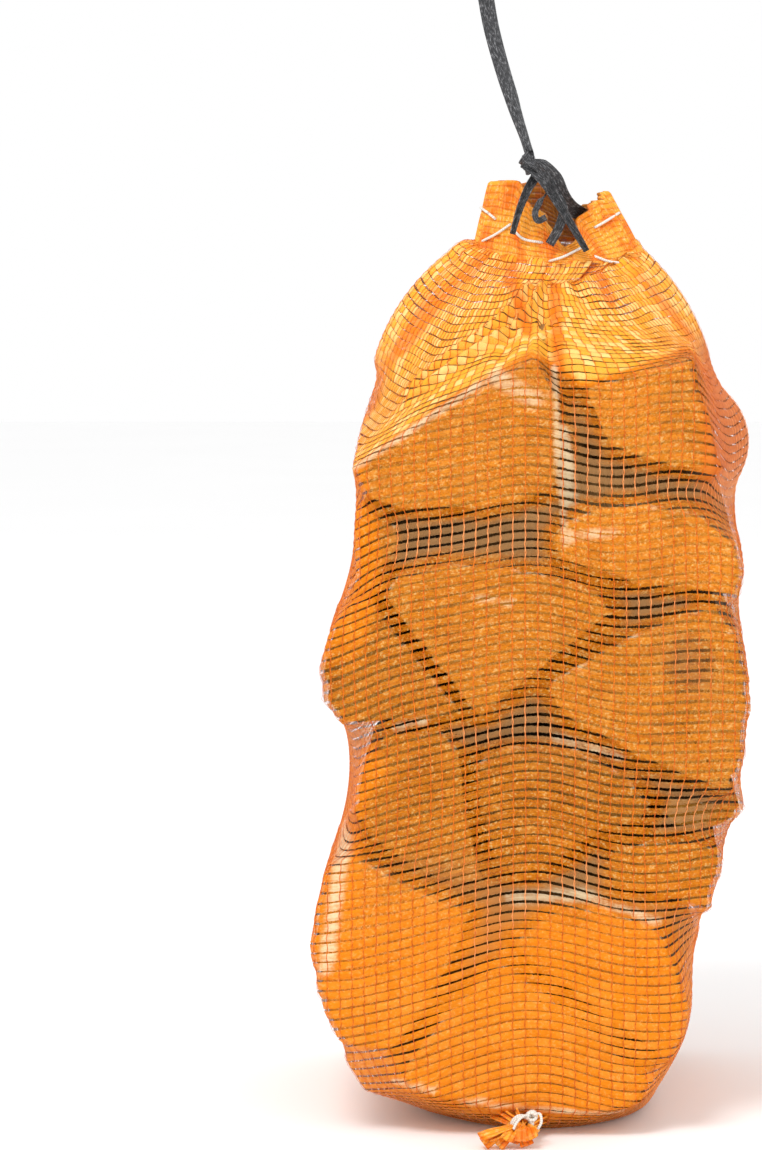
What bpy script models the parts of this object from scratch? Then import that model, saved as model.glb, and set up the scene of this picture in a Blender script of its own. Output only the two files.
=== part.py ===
"""Firewood bundle: split logs in an orange net bag that a dark drawstring closes.

Metres, +Z up. The sawn log ends face -Y and the bag stands on Z = 0. Outlines and routes are
written in millimetres and scaled by MM.
"""

import math
from dataclasses import dataclass

import bmesh
import bpy
import numpy as np
from mathutils import Vector

MM = 0.001
WELD_DISTANCE = 0.01
SHARP_FROM_DEGREES = 32

# Logs
LOG_LENGTH = 238
LOG_CHAMFER = 1.6
LOG_BOW = 0.025

# Bag
NET_THICKNESS = 1.6
NET_CLEARANCE = 3.5
BAG_CENTRE = (4, 8)
BAG_COLUMNS = 44
FOOT_LEVELS = (0, 5, 13, 24)
BODY_FROM = 42
BODY_LEVELS = 18
DOME_BASE = 385
DOME_RAY_ANGLES = (9, 19, 29, 39, 49, 59)
DOME_PITCH = 120
BASE_HALF_WIDTHS = (66, 99)
CORNER_CROWDING = 0.45
SIDE_SLACK = 116
SIDE_SLACK_RISE = 0.62
SIDE_SLACK_FROM = 32
HOOP_PULL = 0.86
RELAX_STEPS = 300
LAST_PUSHES = 8
START_RADIUS = 170

# Hem
SEAM_CENTRE = (15, 4)
SEAM_HALF_WIDTHS = (50, 22)
MOUTH_CENTRE = (12, 4)
MOUTH_HALF_WIDTHS = (41, 15)
PLEAT_DEPTH = 1.6
HEM_THREAD_RADIUS = 0.9
THREAD_RAISE = 5
THREAD_LEFT_RAISE = 12
THREAD_STAND_OFF = 3.6

# Drawstring tape, drawn as a round cord
LEG_RADIUS = 2.0
BACK_LEG_RADIUS = 3.4
LOOSE_END_RADIUS = 2.6
TAIL_RADIUS = 4.0
KNOT_CENTRE = (6, -17, 559)
KNOT_HALF_WIDTHS = (10.5, 7.5, 11)


@dataclass
class Log:
    """A split log: its front end outline in X and Z, and how it changes towards its rear end."""

    outline: list
    front: float = -112
    length: float = LOG_LENGTH
    rise: float = 0
    rear_scale: tuple = (1, 1)
    rear_shift: tuple = (0, 0)


LOGS = {
    "log_top_left": Log(
        [(-101, 388), (-93, 371), (-75, 364), (-29, 365), (13, 373), (18, 399), (16, 428)]
        + [(2, 452), (-12, 442), (-52, 420)],
        length=226,
        rise=14,
        rear_scale=(0.93, 0.92),
        rear_shift=(7, 0),
    ),
    "log_top_right": Log(
        [(30, 434), (38, 413), (46, 400), (74, 390), (106, 386), (101, 416), (90, 450)],
        front=-110,
        rise=6.5,
        rear_scale=(1.15, 0.85),
        rear_shift=(3, 0),
    ),
    "log_upper_left": Log(
        [(-98, 364), (-88, 361), (-76, 355), (-76, 343), (-85, 331), (-91, 318), (-100, 319)],
        front=-102,
        length=220,
        rise=5,
        rear_scale=(2.1, 1.35),
        rear_shift=(20, 10),
    ),
    "log_upper_right": Log(
        [(10, 346), (18, 336), (39, 328), (62, 321), (91, 318), (117, 315), (120, 329)]
        + [(116, 345), (96, 362), (65, 369), (39, 366), (20, 358)],
        rise=7,
        rear_scale=(1.02, 1.15),
    ),
    "log_center": Log(
        [(-85, 316), (-29, 244), (46, 306), (38, 319), (8, 329), (-18, 333), (-52, 334), (-75, 328)],
        front=-116,
        rise=2,
        rear_scale=(0.97, 1.1),
    ),
    "log_left": Log(
        [(-101, 312), (-113, 295), (-119, 273), (-117, 255), (-107, 242), (-87, 242)]
        + [(-52, 244), (-38, 246), (-91, 311)],
        rise=1.5,
        rear_scale=(1.02, 1.0),
    ),
    "log_right": Log(
        [(106, 310), (85, 305), (51, 289), (13, 268), (9, 262), (18, 246), (63, 221), (113, 202)]
        + [(121, 222), (124, 256), (120, 290)],
        front=-114,
        rise=1.5,
        rear_scale=(1.04, 1.03),
    ),
    "log_lower_left": Log(
        [(-84, 236), (-98, 211), (-101, 190), (-93, 174), (-74, 159), (-47, 148), (-27, 148)]
        + [(-33, 171), (-37, 197), (-41, 226), (-52, 236)],
        front=-107,
        rear_scale=(1.03, 1.0),
    ),
    "log_lower_center": Log(
        [(-34, 216), (-28, 180), (-18, 154), (-1, 153), (17, 162), (40, 178), (62, 183), (70, 194)]
        + [(54, 214), (28, 226), (-1, 230), (-26, 225)],
        front=-108,
        rear_scale=(1.02, 0.97),
    ),
    "log_stick": Log(
        [(80, 196), (76, 187), (84, 179), (108, 178), (118, 183), (122, 192), (104, 194)],
        front=-94,
        length=205,
    ),
    "log_lower_right": Log(
        [(48, 168), (43, 158), (48, 147), (72, 141), (101, 133), (105, 148), (110, 160)]
        + [(109, 169), (97, 172), (69, 173)],
        front=-108,
    ),
    "log_bottom_left": Log(
        [(-103, 166), (-115, 158), (-121, 137), (-125, 114), (-122, 90), (-114, 66), (-104, 52)]
        + [(-80, 51), (-59, 76), (-43, 108), (-33, 134), (-52, 140), (-75, 151)],
        front=-115,
    ),
    "log_bottom": Log(
        [(-18, 104), (-43, 79), (-71, 46), (-76, 34), (-60, 24), (-20, 15), (38, 14), (60, 19)]
        + [(69, 33), (43, 55), (17, 78)],
        front=-112,
        rise=-1.9,
    ),
    "log_bottom_right": Log(
        [(-12, 112), (4, 99), (24, 84), (42, 70), (64, 55), (79, 44), (87, 58), (90, 75)]
        + [(86, 92), (79, 114), (69, 124), (41, 136), (18, 134), (-1, 123)],
        front=-111,
        rear_scale=(1.0, 0.98),
    ),
}

LEFT_LEG = [(3, -17, 556), (-2, -19.5, 548), (-8, -21.5, 534), (-11, -21.5, 521)]
RIGHT_LEG = [(8, -17, 556), (14, -20.5, 544), (23, -24, 529), (32, -24, 513)]
BACK_LEG = [(8, -17, 560), (17, -10, 563), (24, 0, 557), (30, 6, 543), (31, 7.5, 532)]
LOOSE_END = [(8, -17, 556), (15, -18, 542), (16, -20, 531), (11, -22, 519)]
TAIL = [(-1, -15, 571), (-5, -13, 584), (-10, -10, 599), (-15, -7, 614), (-20, -4, 631)]
TAIL += [(-24, -1, 647), (-27, 0, 664)]
LOOP = [(-30, 0, 679), (-37, 0, 697), (-37, 0, 714), (-29, 0, 722), (-21, 0, 714), (-21, 0, 697)]
LOOP_KNOT_CENTRE = (-28, 0, 672)
LOOP_KNOT_HALF_WIDTHS = (8, 6.5, 7.2)
TIE_CENTRE = (-5, -129.5, 11)
TIE_RADIUS = 7.2
TIE_THREAD_RADIUS = 1.1
TIE_TURNS = 2.4
TIE_PITCH = 2.7
TUFT_ROOT = (-6, -119, 11)
TUFT_NECK_FROM = (-5, -124.5, 11)
TUFT_NECK_TO = (-5, -134.5, 11)
TUFT_NECK_HALF_WIDTHS = (3.6, 3)
TUFT_TIP = (-14, -145, 6)
TUFT_TIP_HALF_WIDTHS = (15, 3.5)


def clear_scene():
    for obj in list(bpy.data.objects):
        bpy.data.objects.remove(obj)


def material(name, color, roughness):
    made = bpy.data.materials.new(name)
    made.use_nodes = True
    surface = made.node_tree.nodes["Principled BSDF"]
    surface.inputs["Base Color"].default_value = (*color, 1)
    surface.inputs["Roughness"].default_value = roughness
    return made


def add_object(name, mesh, surface):
    mesh.materials.append(surface)
    mesh.shade_smooth()
    mesh.set_sharp_from_angle(angle=math.radians(SHARP_FROM_DEGREES))
    obj = bpy.data.objects.new(name, mesh)
    bpy.context.scene.collection.objects.link(obj)
    return obj


def mesh_from(name, points, faces):
    mesh = bpy.data.meshes.new(name)
    mesh.from_pydata([tuple(p) for p in np.asarray(points) * MM], [], faces)
    return mesh


def outward(mesh):
    """Welds points that lie together and turns every face outwards."""
    bm = bmesh.new()
    bm.from_mesh(mesh)
    bmesh.ops.remove_doubles(bm, verts=bm.verts, dist=WELD_DISTANCE * MM)
    bmesh.ops.recalc_face_normals(bm, faces=bm.faces)
    bm.to_mesh(mesh)
    bm.free()


def band_faces(rings, columns):
    """Four-sided faces between each ring of points and the next."""
    faces = []
    for ring in range(rings - 1):
        for column in range(columns):
            following = (column + 1) % columns
            low, high = ring * columns, (ring + 1) * columns
            faces.append((low + column, low + following, high + following, high + column))
    return faces


def log_section(log, share, inset=0):
    """The log's outline at this share of its length: scaled, bowed, and raised by its slope."""
    outline = np.array(log.outline, float)
    middle = outline.mean(axis=0)
    bow = 1 + LOG_BOW * math.sin(math.pi * share)
    scale = bow * (1 + (np.array(log.rear_scale) - 1) * share)
    size = np.abs(outline - middle).mean()
    moved = middle + (outline - middle) * scale * (1 - inset / size)
    moved += np.array(log.rear_shift) * share
    rise = log.length * share * math.tan(math.radians(log.rise))
    depth = np.full(len(outline), log.front + log.length * share)
    return np.column_stack([moved[:, 0], depth, moved[:, 1] + rise])


def log_rings(log):
    end = LOG_CHAMFER / log.length
    stations = [(0, LOG_CHAMFER), (end, 0), (0.5, 0), (1 - end, 0), (1, LOG_CHAMFER)]
    return [log_section(log, share, inset) for share, inset in stations]


def make_log(name, log, surface):
    rings = log_rings(log)
    columns = len(log.outline)
    faces = band_faces(len(rings), columns)
    faces.append(tuple(range(columns)))
    last = columns * (len(rings) - 1)
    faces.append(tuple(range(last, last + columns)))
    mesh = mesh_from(name, np.concatenate(rings), faces)
    outward(mesh)
    add_object(name, mesh, surface)


def log_points():
    """Points spread over the sides and both ends of every log."""
    found = []
    for log in LOGS.values():
        for share in np.linspace(0, 1, 40):
            ring = log_section(log, share)
            following = np.roll(ring, -1, axis=0)
            for step in np.linspace(0, 1, 8, endpoint=False):
                found.append(ring + (following - ring) * step)
    return np.concatenate(found)


def column_angles():
    """Angles round the bag, closer together towards its four upright edges."""
    even = np.arange(BAG_COLUMNS) * (2 * math.pi / BAG_COLUMNS)
    return even + CORNER_CROWDING / 4 * np.sin(4 * even)


def ring_places():
    """Each ring's place up the bag: its height on the body, then its ray angle on the dome."""
    body = np.concatenate([FOOT_LEVELS, np.linspace(BODY_FROM, DOME_BASE, BODY_LEVELS)])
    dome = DOME_BASE + DOME_PITCH * np.radians(DOME_RAY_ANGLES)
    return np.concatenate([body, dome])


def ray_origins_and_directions():
    """Level rays from the bag's axis up to the dome's base, then rays that rise from its centre."""
    places, angles = ring_places(), column_angles()
    lift = np.maximum(places - DOME_BASE, 0) / DOME_PITCH
    heights = np.minimum(places, DOME_BASE)
    origins = np.zeros((len(places), BAG_COLUMNS, 3))
    origins[..., 0], origins[..., 1] = BAG_CENTRE
    origins[..., 2] = heights[:, None]
    flat, up = np.cos(lift)[:, None], np.sin(lift)[:, None]
    directions = np.stack([flat * np.cos(angles), flat * np.sin(angles), up + 0 * angles], axis=-1)
    return origins, directions


class Contact:
    """Points of the logs, each with its distance out and the four bag points round its ray."""

    def __init__(self):
        points = log_points()
        dx, dy = points[:, 0] - BAG_CENTRE[0], points[:, 1] - BAG_CENTRE[1]
        out = np.hypot(dx, dy)
        above = np.maximum(points[:, 2] - DOME_BASE, 0)
        place = np.where(above > 0, DOME_BASE + DOME_PITCH * np.arctan2(above, out), points[:, 2])
        places = ring_places()
        angles = np.append(column_angles(), 2 * math.pi)
        turn = np.arctan2(dy, dx) % (2 * math.pi)
        ring = np.clip(np.searchsorted(places, place) - 1, 0, len(places) - 2)
        column = np.clip(np.searchsorted(angles, turn, side="right") - 1, 0, BAG_COLUMNS - 1)
        up = np.clip((place - places[ring]) / (places[ring + 1] - places[ring]), 0, 1)
        gap = angles[column + 1] - angles[column]
        near, far = np.sin(angles[column + 1] - turn), np.sin(turn - angles[column])
        self.corners = [(ring + j, (column + i) % BAG_COLUMNS) for j in (0, 1) for i in (0, 1)]
        sides = [near / np.sin(gap), far / np.sin(gap)]
        self.weights = [level * side for level in (1 - up, up) for side in sides]
        self.least = np.hypot(out, above) + NET_CLEARANCE

    def pushed(self, radius):
        """Moves the skin's points out until the faces between them clear the logs."""
        inverse = sum(w / radius[corner] for w, corner in zip(self.weights, self.corners))
        short = np.maximum(self.least - 1 / inverse, 0)
        total = sum(w * w for w in self.weights)
        push = np.zeros_like(radius)
        for weight, corner in zip(self.weights, self.corners):
            np.maximum.at(push, corner, short * weight / total)
        return radius + push


def ellipse(centre, half_widths, heights):
    angles = column_angles()
    x = centre[0] + half_widths[0] * np.cos(angles)
    y = centre[1] + half_widths[1] * np.sin(angles)
    return np.column_stack([x, y, heights])


def bump(angle, centre, width):
    """A smooth bump of height 1 round an angle, all in degrees."""
    away = (angle - centre + 180) % 360 - 180
    return np.exp(-((away / width) ** 2))


def seam_heights():
    angles = column_angles()
    return 514 - 3 * np.cos(angles) + 7 * np.sin(angles)


def mouth_heights():
    """The hem's upper edge: an ear each side of the dip below the knot."""
    degrees = np.degrees(column_angles())
    return 546 + 8 * bump(degrees, 232, 24) - 27 * bump(degrees, 272, 17)


def base_ring():
    angles = column_angles()
    x = BAG_CENTRE[0] + BASE_HALF_WIDTHS[0] * np.cos(angles)
    y = BAG_CENTRE[1] + BASE_HALF_WIDTHS[1] * np.sin(angles)
    return np.column_stack([x, y, np.zeros(BAG_COLUMNS)])


def away_from(ring, centre):
    """Level directions of length 1 from a centre to each point of the ring."""
    away = ring - np.array([*centre, 0])
    away[:, 2] = 0
    return away / np.linalg.norm(away, axis=1)[:, None]


def pleated(ring, centre):
    """The ring with every second point pulled in towards its centre."""
    fold = np.where(np.arange(BAG_COLUMNS) % 2, PLEAT_DEPTH, -PLEAT_DEPTH)
    return ring + away_from(ring, centre) * fold[:, None]


def side_slack():
    """The loose net of both shoulders, which stands off the logs: the least reach of each ray."""
    lift = np.degrees((ring_places() - DOME_BASE) / DOME_PITCH)
    reach = SIDE_SLACK + SIDE_SLACK_RISE * (lift - SIDE_SLACK_FROM)
    reach = np.where(lift > SIDE_SLACK_FROM, reach, 0)
    return reach[:, None] * np.cos(column_angles()) ** 2


def stretched_skin():
    """The bag's outer rings: a net drawn tight over the logs, between its base and its seam."""
    origins, directions = ray_origins_and_directions()
    contact = Contact()
    seam = ellipse(SEAM_CENTRE, SEAM_HALF_WIDTHS, seam_heights())
    slack = side_slack()
    radius = np.full(origins.shape[:2], float(START_RADIUS))
    for step in range(RELAX_STEPS + LAST_PUSHES):
        skin = origins + directions * radius[..., None]
        skin[0] = base_ring()
        if step < RELAX_STEPS:
            padded = np.concatenate([skin, seam[None]])
            hoop = (np.roll(skin, 1, axis=1) + np.roll(skin, -1, axis=1)) / 2
            up_down = (padded[:-2] + padded[2:]) / 2
            pulled = HOOP_PULL * hoop[1:] + (1 - HOOP_PULL) * up_down
            radius[1:] = np.einsum("ijk,ijk->ij", pulled - origins[1:], directions[1:])
            radius = np.maximum(radius, slack)
        radius = contact.pushed(radius)
    skin = origins + directions * radius[..., None]
    skin[0] = base_ring()
    return skin


def hem_rings():
    seam = ellipse(SEAM_CENTRE, SEAM_HALF_WIDTHS, seam_heights())
    mouth = ellipse(MOUTH_CENTRE, MOUTH_HALF_WIDTHS, mouth_heights())
    middle = (seam + mouth) / 2
    return [
        pleated(seam, SEAM_CENTRE),
        pleated(middle, SEAM_CENTRE),
        pleated(mouth, MOUTH_CENTRE),
    ]


def inner_rings(outer):
    """The outer rings moved in by the net's thickness, along each point's own normal."""
    around = np.roll(outer, -1, axis=1) - np.roll(outer, 1, axis=1)
    along = np.gradient(outer, axis=0)
    normal = np.cross(around, along)
    normal /= np.linalg.norm(normal, axis=2)[..., None]
    inner = outer - normal * NET_THICKNESS
    inner[0] = outer[0] - normal[0] * [NET_THICKNESS, NET_THICKNESS, 0]
    inner[0, :, 2] = NET_THICKNESS
    inner[1, :, 2] = np.maximum(inner[1, :, 2], outer[1, :, 2])
    return inner


def rectangle(centre, half_widths):
    """The left low, right low, right high and left high corners of an upright rectangle."""
    x, y, z = centre
    wide, high = half_widths
    low, high = z - high, z + high
    return [(x - wide, y, low), (x + wide, y, low), (x + wide, y, high), (x - wide, y, high)]


def pull_tuft(bm):
    """Draws one face of the front out into the gathered tuft of the bottom seam."""
    root = np.array(TUFT_ROOT) * MM
    front = [face for face in bm.faces if face.normal.y < -0.3 and len(face.verts) == 4]
    face = min(front, key=lambda found: (found.calc_center_median() - Vector(root)).length)
    stages = [
        (TUFT_NECK_FROM, TUFT_NECK_HALF_WIDTHS),
        (TUFT_NECK_TO, TUFT_NECK_HALF_WIDTHS),
        (TUFT_TIP, TUFT_TIP_HALF_WIDTHS),
    ]
    for centre, half_widths in stages:
        made = bmesh.ops.extrude_discrete_faces(bm, faces=[face])
        face = made["faces"][0]
        place_corners(face, rectangle(centre, half_widths))


def place_corners(face, corners):
    """Moves the face's four corners onto these, keeping left with left and low with low."""
    middle = face.calc_center_median()
    for vertex in face.verts:
        left, low = vertex.co.x < middle.x, vertex.co.z < middle.z
        index = (0 if left else 1) if low else (3 if left else 2)
        vertex.co = Vector(corners[index]) * MM


def make_bag(surface):
    outer = np.concatenate([stretched_skin(), np.array(hem_rings())])
    inner = inner_rings(outer)
    rings = len(outer)
    count = rings * BAG_COLUMNS
    faces = band_faces(rings, BAG_COLUMNS)
    faces += [tuple(index + count for index in reversed(face)) for face in faces]
    faces.append(tuple(reversed(range(BAG_COLUMNS))))
    faces.append(tuple(range(count, count + BAG_COLUMNS)))
    top = count - BAG_COLUMNS
    for column in range(BAG_COLUMNS):
        following = (column + 1) % BAG_COLUMNS
        faces.append((top + column, top + following, top + count + following, top + count + column))
    points = np.concatenate([outer.reshape(-1, 3), inner.reshape(-1, 3)])
    mesh = mesh_from("net_bag", points, faces)
    bm = bmesh.new()
    bm.from_mesh(mesh)
    bmesh.ops.recalc_face_normals(bm, faces=bm.faces)
    pull_tuft(bm)
    bm.to_mesh(mesh)
    bm.free()
    add_object("net_bag", mesh, surface)


def smooth_route(points, count, closed=False):
    """Points along a Catmull-Rom curve through the route."""
    route = np.array(points, float)
    if closed:
        before, after, last = route[-1], route[:2], len(route)
    else:
        before, after, last = 2 * route[0] - route[1], [2 * route[-1] - route[-2]], len(route) - 1
    padded = np.concatenate([[before], route, after])
    found = []
    for place in np.linspace(0, last, count, endpoint=not closed):
        part = min(int(place), last - 1)
        t = place - part
        a, b, c, d = padded[part : part + 4]
        bend = (2 * a - 5 * b + 4 * c - d) * t**2 + (3 * b - a - 3 * c + d) * t**3
        found.append(0.5 * (2 * b + (c - a) * t + bend))
    return np.array(found)


def cord_curve(name, points, radius, surface, closed=False, resolution=2):
    """A round cord along these points, as a curve with filled ends."""
    curve = bpy.data.curves.new(name, "CURVE")
    curve.dimensions = "3D"
    curve.bevel_depth = radius * MM
    curve.bevel_resolution = resolution
    curve.use_fill_caps = not closed
    spline = curve.splines.new("POLY")
    spline.points.add(len(points) - 1)
    for target, point in zip(spline.points, points):
        target.co = (*(np.array(point) * MM), 1)
    spline.use_cyclic_u = closed
    curve.materials.append(surface)
    obj = bpy.data.objects.new(name, curve)
    bpy.context.scene.collection.objects.link(obj)
    return obj


def cord_mesh(name, points, radius, surface):
    """The same cord as a mesh, for joining with a Boolean."""
    curved = cord_curve(name + "_route", points, radius, surface)
    graph = bpy.context.evaluated_depsgraph_get()
    mesh = bpy.data.meshes.new_from_object(curved.evaluated_get(graph))
    bpy.data.objects.remove(curved)
    outward(mesh)
    obj = bpy.data.objects.new(name, mesh)
    bpy.context.scene.collection.objects.link(obj)
    return obj


def lump(name, centre, half_widths, surface):
    """A rounded lump of tape, for the middle of a knot."""
    bm = bmesh.new()
    bmesh.ops.create_icosphere(bm, subdivisions=2, radius=1)
    bmesh.ops.scale(bm, vec=Vector(half_widths) * MM, verts=bm.verts)
    bmesh.ops.translate(bm, vec=Vector(centre) * MM, verts=bm.verts)
    mesh = bpy.data.meshes.new(name)
    bm.to_mesh(mesh)
    bm.free()
    return add_object(name, mesh, surface)


def join(target, others):
    for other in others:
        other.hide_render = True
        other.display_type = "WIRE"
        modifier = target.modifiers.new(other.name, "BOOLEAN")
        modifier.operation = "UNION"
        modifier.solver = "EXACT"
        modifier.object = other


def make_drawstring(surface):
    knot = lump("drawstring", KNOT_CENTRE, KNOT_HALF_WIDTHS, surface)
    routes = [
        ("leg_left", LEFT_LEG, LEG_RADIUS),
        ("leg_right", RIGHT_LEG, LEG_RADIUS),
        ("leg_back", BACK_LEG, BACK_LEG_RADIUS),
        ("loose_end", LOOSE_END, LOOSE_END_RADIUS),
    ]
    others = [cord_mesh(name, smooth_route(route, 9), radius, surface) for name, route, radius in routes]
    join(knot, others)


def make_tail(surface):
    cord_curve("drawstring_tail", smooth_route(TAIL, 12), TAIL_RADIUS, surface)


def make_end_loop(surface):
    knot = lump("drawstring_loop", LOOP_KNOT_CENTRE, LOOP_KNOT_HALF_WIDTHS, surface)
    route = smooth_route([LOOP_KNOT_CENTRE] + LOOP, 26, closed=True)
    curved = cord_curve("loop_route", route, LEG_RADIUS, surface, closed=True)
    graph = bpy.context.evaluated_depsgraph_get()
    mesh = bpy.data.meshes.new_from_object(curved.evaluated_get(graph))
    bpy.data.objects.remove(curved)
    outward(mesh)
    ring = bpy.data.objects.new("end_loop", mesh)
    bpy.context.scene.collection.objects.link(ring)
    join(knot, [ring])


def hem_thread_route():
    """A line of stitches just above the seam, higher on the bag's left."""
    degrees = np.degrees(column_angles())
    raised = THREAD_RAISE + THREAD_LEFT_RAISE * bump(degrees, 190, 40)
    share = (raised / (mouth_heights() - seam_heights()))[:, None]
    seam = ellipse(SEAM_CENTRE, SEAM_HALF_WIDTHS, seam_heights())
    mouth = ellipse(MOUTH_CENTRE, MOUTH_HALF_WIDTHS, mouth_heights())
    line = seam + (mouth - seam) * share
    return line + away_from(line, SEAM_CENTRE) * THREAD_STAND_OFF


def make_hem_thread(surface):
    cord_curve("hem_thread", hem_thread_route(), HEM_THREAD_RADIUS, surface, closed=True, resolution=1)


def make_bottom_tie(surface):
    """White thread wound round the tuft's neck."""
    turns = np.linspace(0, 2 * math.pi * TIE_TURNS, 30)
    x, y, z = TIE_CENTRE
    route = np.column_stack(
        [
            x + TIE_RADIUS * np.cos(turns),
            y + TIE_PITCH * (turns / (2 * math.pi) - TIE_TURNS / 2),
            z + TIE_RADIUS * np.sin(turns),
        ]
    )
    cord_curve("bottom_tie", route, TIE_THREAD_RADIUS, surface, resolution=1)


def centre_over_origin():
    """Moves everything level, so that the bag is centred over the origin."""
    bag = bpy.data.objects["net_bag"].data
    points = np.array([vertex.co for vertex in bag.vertices])
    middle = (points.min(axis=0) + points.max(axis=0)) / 2
    for obj in bpy.context.scene.objects:
        obj.location.x, obj.location.y = -middle[0], -middle[1]


def main():
    clear_scene()
    wood = material("wood", (0.55, 0.30, 0.12), 0.75)
    net = material("net", (0.95, 0.33, 0.03), 0.5)
    tape = material("tape", (0.03, 0.03, 0.035), 0.7)
    thread = material("thread", (0.9, 0.88, 0.82), 0.7)
    for name, log in LOGS.items():
        make_log(name, log, wood)
    make_bag(net)
    make_hem_thread(thread)
    make_bottom_tie(thread)
    make_drawstring(tape)
    make_tail(tape)
    make_end_loop(tape)
    centre_over_origin()


main()
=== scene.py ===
"""Firewood bundle: split logs in an orange leno net bag that a dark flat drawstring closes.

Shapes are worked out in millimetres, in the outlines' own frame, and CENTRING moves them over the
origin as they become meshes. The sawn ends face -Y and the bag stands on Z = 0.
"""

import math

import bpy
import numpy as np
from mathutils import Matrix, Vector


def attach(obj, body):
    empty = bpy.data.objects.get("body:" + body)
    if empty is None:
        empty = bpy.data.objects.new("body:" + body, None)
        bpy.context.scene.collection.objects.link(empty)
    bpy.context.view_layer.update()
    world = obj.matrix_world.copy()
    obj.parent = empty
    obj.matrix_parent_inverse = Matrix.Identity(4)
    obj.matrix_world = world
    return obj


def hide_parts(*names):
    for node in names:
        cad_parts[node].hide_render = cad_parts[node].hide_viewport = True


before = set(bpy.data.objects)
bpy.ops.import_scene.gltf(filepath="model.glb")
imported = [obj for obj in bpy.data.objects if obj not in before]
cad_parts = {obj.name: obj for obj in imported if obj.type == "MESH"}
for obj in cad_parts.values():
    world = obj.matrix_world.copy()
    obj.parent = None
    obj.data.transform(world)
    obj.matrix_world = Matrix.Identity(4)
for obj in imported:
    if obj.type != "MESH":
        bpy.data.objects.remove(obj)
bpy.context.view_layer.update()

MM = 0.001
CENTRING = np.array([-0.04, 2.53, 0.0])
TURN = 2 * math.pi

# Photograph's view
CAMERA_PLACE = (0, -2.2, 0.5102)
CAMERA_TILT = math.radians(85)
CAMERA_LENS = 114.79
CAMERA_SHIFT = -0.1304

# Middle of the bag, in X and Y
BAG_CENTRE = (4, 8)

# Logs
LOG_AROUND = 128
LOG_ALONG = 60
CAP_RINGS = 14
RING_GAP = 0.6
SWELL_REACH = 48
SWELL_MOST = 12
SWELL_AHEAD = 0.35
SWELL_SIDES = (98, 74)
SWELL_PASSES = 4
INNER_SHADE = 0.62

# Bag
NET_CLEARANCE = 2.4
DOME_BASE = 385
DOME_PITCH = 120
DOME_TOP_ANGLE = 67
SEAM_ANGLE_GAP = 9
CORNER_CROWDING = 0.30
BASE_HALF_WIDTHS = (66, 99)
SIDE_SLACK = 116
SIDE_SLACK_RISE = 0.62
SIDE_SLACK_FROM = 32
RIGHT_BULGE = 128
RIGHT_BULGE_PLACE = 402
RIGHT_BULGE_WIDTH = 110
LEFT_BASE = [(0, 60), (12, 79), (24, 101), (45, 112), (62, 108), (75, 0)]
HOOP_PULL = 0.86
START_RADIUS = 170
SKIN_LEVELS = [(70, 44, 300), (140, 87, 120), (280, 173, 60)]
COLLAR_RINGS = 8
FLOOR_RINGS = 12
WARPS = 140
BODY_ROWS = 110
FLOOR_ROWS = 15
TAPE_WIDTH = 4.6
NO_WOOD = 60.0

# Hem
SEAM_CENTRE = (16.5, 4)
SEAM_HALF_WIDTHS = (49, 22)
MOUTH_CENTRE = (11, 4)
MOUTH_HALF_WIDTHS = (33, 14)
HEM_AROUND = 560
HEM_RISE = 22


def in_scene(name, data):
    obj = bpy.data.objects.new(name, data)
    bpy.context.scene.collection.objects.link(obj)
    return obj


def mesh_piece(name, points, faces, surface, attributes=()):
    """A smooth mesh piece from points in mm and arrays of faces, each array of one corner count."""
    mesh = bpy.data.meshes.new(name)
    points = (np.asarray(points, float).reshape(-1, 3) + CENTRING) * MM
    mesh.vertices.add(len(points))
    mesh.vertices.foreach_set("co", points.ravel())
    sizes = np.concatenate([np.full(len(group), group.shape[1]) for group in faces])
    corners = np.concatenate([group.ravel() for group in faces]).astype(np.int32)
    mesh.loops.add(len(corners))
    mesh.loops.foreach_set("vertex_index", corners)
    mesh.polygons.add(len(sizes))
    mesh.polygons.foreach_set("loop_start", (np.cumsum(sizes) - sizes).astype(np.int32))
    mesh.update(calc_edges=True)
    mesh.validate()
    mesh.shade_smooth()
    mesh.materials.append(surface)
    for label, values in dict(attributes).items():
        made = mesh.attributes.new(label, "FLOAT_VECTOR", "POINT")
        made.data.foreach_set("vector", np.asarray(values, float).reshape(-1, 3).ravel())
    obj = in_scene(name, mesh)
    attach(obj, "root")
    return obj


def grid_faces(rows, columns, closed=True, first=0):
    """Four-sided faces between neighbouring points of a grid, closed round its columns or open."""
    row = np.arange(rows - 1)[:, None] * columns
    column = np.arange(columns if closed else columns - 1)[None]
    following = (column + 1) % columns
    corners = [row + column, row + following, row + columns + following, row + columns + column]
    return first + np.stack(corners, axis=-1).reshape(-1, 4)


def fan_faces(ring_first, columns, pole, outward_up):
    """Three-sided faces from a ring of points to a pole."""
    column = np.arange(columns)
    following = (column + 1) % columns
    pair = (column, following) if outward_up else (following, column)
    return np.stack([ring_first + pair[0], ring_first + pair[1], np.full(columns, pole)], axis=-1)


def noise(around, along, cells, seed):
    """Smooth noise from -1 to 1: random values at the corners of cells, blended by smoothsteps.

    It repeats after one whole unit either way."""
    lattice = np.random.default_rng(seed).uniform(-1, 1, cells)
    x, y = around * cells[0], along * cells[1]
    column, row = np.floor(x).astype(int), np.floor(y).astype(int)
    a, b = x - column, y - row
    a, b = a * a * (3 - 2 * a), b * b * (3 - 2 * b)
    corner = [[lattice[(column + i) % cells[0], (row + j) % cells[1]] for j in (0, 1)] for i in (0, 1)]
    low = corner[0][0] + (corner[1][0] - corner[0][0]) * a
    high = corner[0][1] + (corner[1][1] - corner[0][1]) * a
    return low + (high - low) * b


def smoothstep(low, high, value):
    share = np.clip((value - low) / (high - low), 0, 1)
    return share * share * (3 - 2 * share)


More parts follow.
